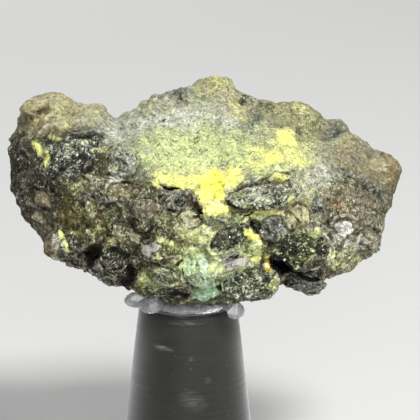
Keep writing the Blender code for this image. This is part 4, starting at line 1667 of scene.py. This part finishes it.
# %% [markdown]
# ## The putty
#
# Clear mounting putty is a soft gel. It swells a little where it is squeezed out, and it sticks to
# both faces, so the packed wad is grown until it closes the hair of air round it. Plain transmission
# over a bright, slightly rough surface gives the milky look: dark where the stand lies behind it, and
# white where it catches the light. The pad between rock and stand is also painted dark grey, a painted
# shade for the dark stand seen through it in the rock's shadow.

# %% Putty: shape
PUTTY_VOXEL = 0.13 * MM
PUTTY_SWELL = 0.26 * MM
PUTTY_LUMPS = 0.16 * MM
PUTTY_LUMP_SIZE = 1.4 * MM
# Painted shade: across this patch the putty is painted dark grey, for the dark stand seen through it.
THIN_PUTTY = Patch("thin", 190, 297, 34, 7, soft=0.15)

putty_mesh = remeshed("putty", "mounting_putty", PUTTY_VOXEL, smoothing=4)
points = points_of(putty_mesh)
swell = PUTTY_SWELL + PUTTY_LUMPS * noise_of(points, PUTTY_LUMP_SIZE, 51)
move_points(putty_mesh, points + even_normals(putty_mesh) * swell[:, None])
putty_mesh.shade_smooth()
write_shares(putty_mesh, {"thin": share_of(THIN_PUTTY, *to_pixels(points))})
putty = placed("mounting_putty", putty_mesh)
print("putty:", len(putty.data.polygons), "faces")


# %% Putty: a clear, milky gel
def putty_material():
    made = new_material("clear putty")
    s = Patterns(made)
    milk = s.ramp(s.grain(0.7 * MM, 3.0, 0.6, 3), 0.35, 0.65)
    white = s.mix(milk, tone(222, 224, 226), tone(250, 251, 252))
    s.principled(
        # Painted shade: dark grey over the pad between rock and stand.
        Base_Color=s.mix(s.attribute("thin"), white, tone(98, 98, 100)),
        Roughness=s.ramp(milk, 0.0, 1.0, 0.10, 0.28),
        Transmission_Weight=0.80,
        IOR=1.42,
        Normal=s.bump(s.grain(0.60 * MM, 2.0, 0.6, 4), 0.10 * MM, 0.5),
    )
    return made


putty.data.materials.append(putty_material())
hand_over(putty, "putty")
print("the putty is", putty.data.materials[0].name)

# %% [markdown]
# ## The turned stand
#
# The stand was turned on a lathe from frosted acrylic, and the tool left faint rings. Its shape is a
# rule: a radius for each height. So one node tree makes it: a straight line up the axis, a radius at
# each of its points, and a circle swept along it. A thin noise that depends on height alone cuts the
# rings, and the ends are eased in where the edges are broken.

# %% Lathe tree
STAND_SIZES = {
    "Height": 24.0 * MM,
    "Foot Radius": 8.4 * MM,
    "Top Radius": 5.6 * MM,
    "Broken Edge": 0.35 * MM,
    "Groove Depth": 0.035 * MM,
    "Groove Spacing": 0.45 * MM,
}
STEPS_UP = 220
STEPS_ROUND = 120
GROOVE_BIAS = 0.7


def lathe_radius(g, climb):
    """The taper, less a groove that depends on the height, less the broken edge at either end."""
    height = g.times(climb, g.given["Height"])
    taper = g.node("ShaderNodeMapRange", {0: climb, 3: g.given["Foot Radius"], 4: g.given["Top Radius"]})
    turns = g.math("DIVIDE", height, g.given["Groove Spacing"])
    rings = g.node("ShaderNodeTexNoise", {"W": turns, "Scale": 1.0, "Detail": 3.0}, noise_dimensions="1D")
    cut = g.times(g.less(rings, GROOVE_BIAS), g.given["Groove Depth"])
    end = g.math("MINIMUM", height, g.less(g.given["Height"], height))
    ease = g.math("MAXIMUM", g.less(g.given["Broken Edge"], end), 0.0)
    return g.less(g.math("ADD", taper, cut), ease)


g = Tree("turned cone", {**dict.fromkeys(STAND_SIZES, "Float"), "Look": "Material"})
top = g.node("ShaderNodeCombineXYZ", {"Z": g.given["Height"]})
axis = g.node("GeometryNodeCurvePrimitiveLine", {"End": top})
axis = g.node("GeometryNodeResampleCurve", {"Curve": axis, "Count": STEPS_UP}, mode="COUNT")
body = g.node("GeometryNodeCurveToMesh", {
    "Curve": axis,
    "Profile Curve": g.node("GeometryNodeCurvePrimitiveCircle", {"Resolution": STEPS_ROUND, "Radius": 1.0}),
    "Scale": lathe_radius(g, g.node("GeometryNodeSplineParameter")),
    "Fill Caps": True,
})
g.finish(g.node("GeometryNodeSetMaterial", {"Geometry": body, "Material": g.given["Look"]}))
LATHE_TREE = g
print(g.tree.name, "has", len(g.tree.nodes), "nodes")


# %% Frosted acrylic
def acrylic_material():
    """Nearly black from a painted shade for a dark room; hazy with rings and scuffs, and pale at a low
    angle.
    """
    made = new_material("frosted acrylic")
    s = Patterns(made)
    rings = s.grain(0.50 * MM, 3.0, 0.7, 5, stretch=(0.02, 0.02, 1.0))
    haze = s.grain(5.0 * MM, 2.0, 0.5, 6)
    dust = s.ramp(s.grain(0.30 * MM, 2.0, 0.5, 7), 0.70, 0.76)
    # Painted shade: these near-black tones stand for a dark room seen through the clear stand.
    colour = s.mix(haze, tone(20, 20, 18), tone(32, 31, 28))
    colour = s.dim(colour, s.ramp(rings, 0.3, 0.7, 0.80, 1.20))
    colour = s.mix(s.times(dust, 0.16), colour, tone(150, 150, 146))
    streak = s.ramp(s.grain(0.25 * MM, 2.0, 0.6, 8, stretch=(0.15, 0.15, 1.0)), 0.35, 0.60)
    colour = s.mix(s.times(s.attribute("scuff"), streak), colour, tone(170, 170, 168))
    s.principled(
        Base_Color=colour,
        Roughness=s.ramp(rings, 0.3, 0.7, 0.42, 0.62),
        Transmission_Weight=0.04,
        IOR=1.49,
        Specular_IOR_Level=0.22,
        Sheen_Weight=0.50,
        Sheen_Roughness=0.45,
        Normal=s.bump(rings, 0.06 * MM, 0.6),
    )
    return made


STAND_LOOK = acrylic_material()
print(STAND_LOOK.name, "has", len(STAND_LOOK.node_tree.nodes), "nodes")

# %% Turn the stand and scuff it
STAND_SHARP_EDGE = math.radians(30.0)
SCUFFS = patches(
    "scuff",
    (163, 348, 7, 2, -16, 0.42, 0.8), (187, 323, 11, 1.6, 0, 0.26, 0.8),
    (174, 313, 9, 1.8, -18, 0.34, 0.8), (155, 311, 5, 1.4, -20, 0.3, 0.8),
    (191, 359, 1.8, 1.8, 0, 0.22, 0.8), (208, 380, 2, 2.6, 0, 0.16, 0.8), (193, 401, 9, 6, -20, 0.14, 0.9),
)

blank = placed("turned_stand", bpy.data.meshes.new("blank"))
run_tree(LATHE_TREE, blank, **STAND_SIZES, Look=STAND_LOOK)
stand_mesh = plain_mesh(blank, "turned_stand")
face_depth = CAMERA_DISTANCE - STAND_SIZES["Top Radius"]
write_shares(stand_mesh, {"scuff": strongest(SCUFFS, *to_pixels(points_of(stand_mesh)), face_depth)})
stand_mesh.shade_smooth()
stand_mesh.set_sharp_from_angle(angle=STAND_SHARP_EDGE)
stand = placed("turned_stand", stand_mesh)
hand_over(stand, "stand")
print("stand:", len(stand.data.polygons), "faces,", round(stand.dimensions.x / MM, 2), "mm across")

# %% [markdown]
# ## Floor and light
#
# A specimen is shown on a plain table under soft light. A square lamp high on the right is the key,
# a wide one behind the camera fills the shadows, and three more pick out the right side, the top and
# the back edge. Square lamps are used because their width sets how soft a shadow is.

# %% Floor
FLOOR_HALF = 2.0
bm = bmesh.new()
bmesh.ops.create_grid(bm, x_segments=1, y_segments=1, size=FLOOR_HALF)
floor = placed("floor", finished(bm, "floor"))
FLOOR_LOOK = new_material("pale floor")
Shading(FLOOR_LOOK).principled(Base_Color=tone(192, 192, 190), Roughness=1.0, Specular_IOR_Level=0.0)
floor.data.materials.append(FLOOR_LOOK)
floor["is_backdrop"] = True
print("floor:", round(floor.dimensions.x, 1), "m across")

# %% Lamps: place and width in metres, power in watts
LAMPS = {
    "key light": ((0.196, -0.522, 0.620), 0.18, 8.4),
    "front light": ((0.034, -0.900, 0.224), 0.54, 4.2),
    "right light": ((0.36, -0.24, 0.18), 0.20, 0.7),
    "top light": ((0.08, 0.16, 0.44), 0.20, 0.6),
    "back light": ((-0.30, 0.75, 0.20), 0.35, 4.5),
}
SKY = (0.9, 0.95, 1.0, 1.0)
SKY_STRENGTH = 0.16

for name, (place, width, power) in LAMPS.items():
    lamp = placed(name, bpy.data.lights.new(name, "AREA"))
    lamp.data.shape = "SQUARE"
    lamp.data.size = width
    lamp.data.energy = power
    lamp.location = place
    aim(lamp, LOOK_AT - lamp.location)
world = bpy.data.worlds.new("studio")
world.use_nodes = True
sky = world.node_tree.nodes["Background"].inputs
sky["Color"].default_value = SKY
sky["Strength"].default_value = SKY_STRENGTH
bpy.context.scene.world = world
bpy.context.scene.view_settings.view_transform = "Standard"
print(len(LAMPS), "lamps,", round(sum(power for _, _, power in LAMPS.values()), 1), "watts in all")

# %% [markdown]
# ## The packed box and the dressed box
#
# The packed model carries the true size, so both boxes are measured and printed side by side.

# %% Measure the dressed box beside the packed one
LOOKS_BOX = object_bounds()
for title, (low, high) in (("packed", CAD_BOX), ("dressed", LOOKS_BOX)):
    print(title, "box:", [round((b - a) / MM, 2) for a, b in zip(low, high)], "mm")
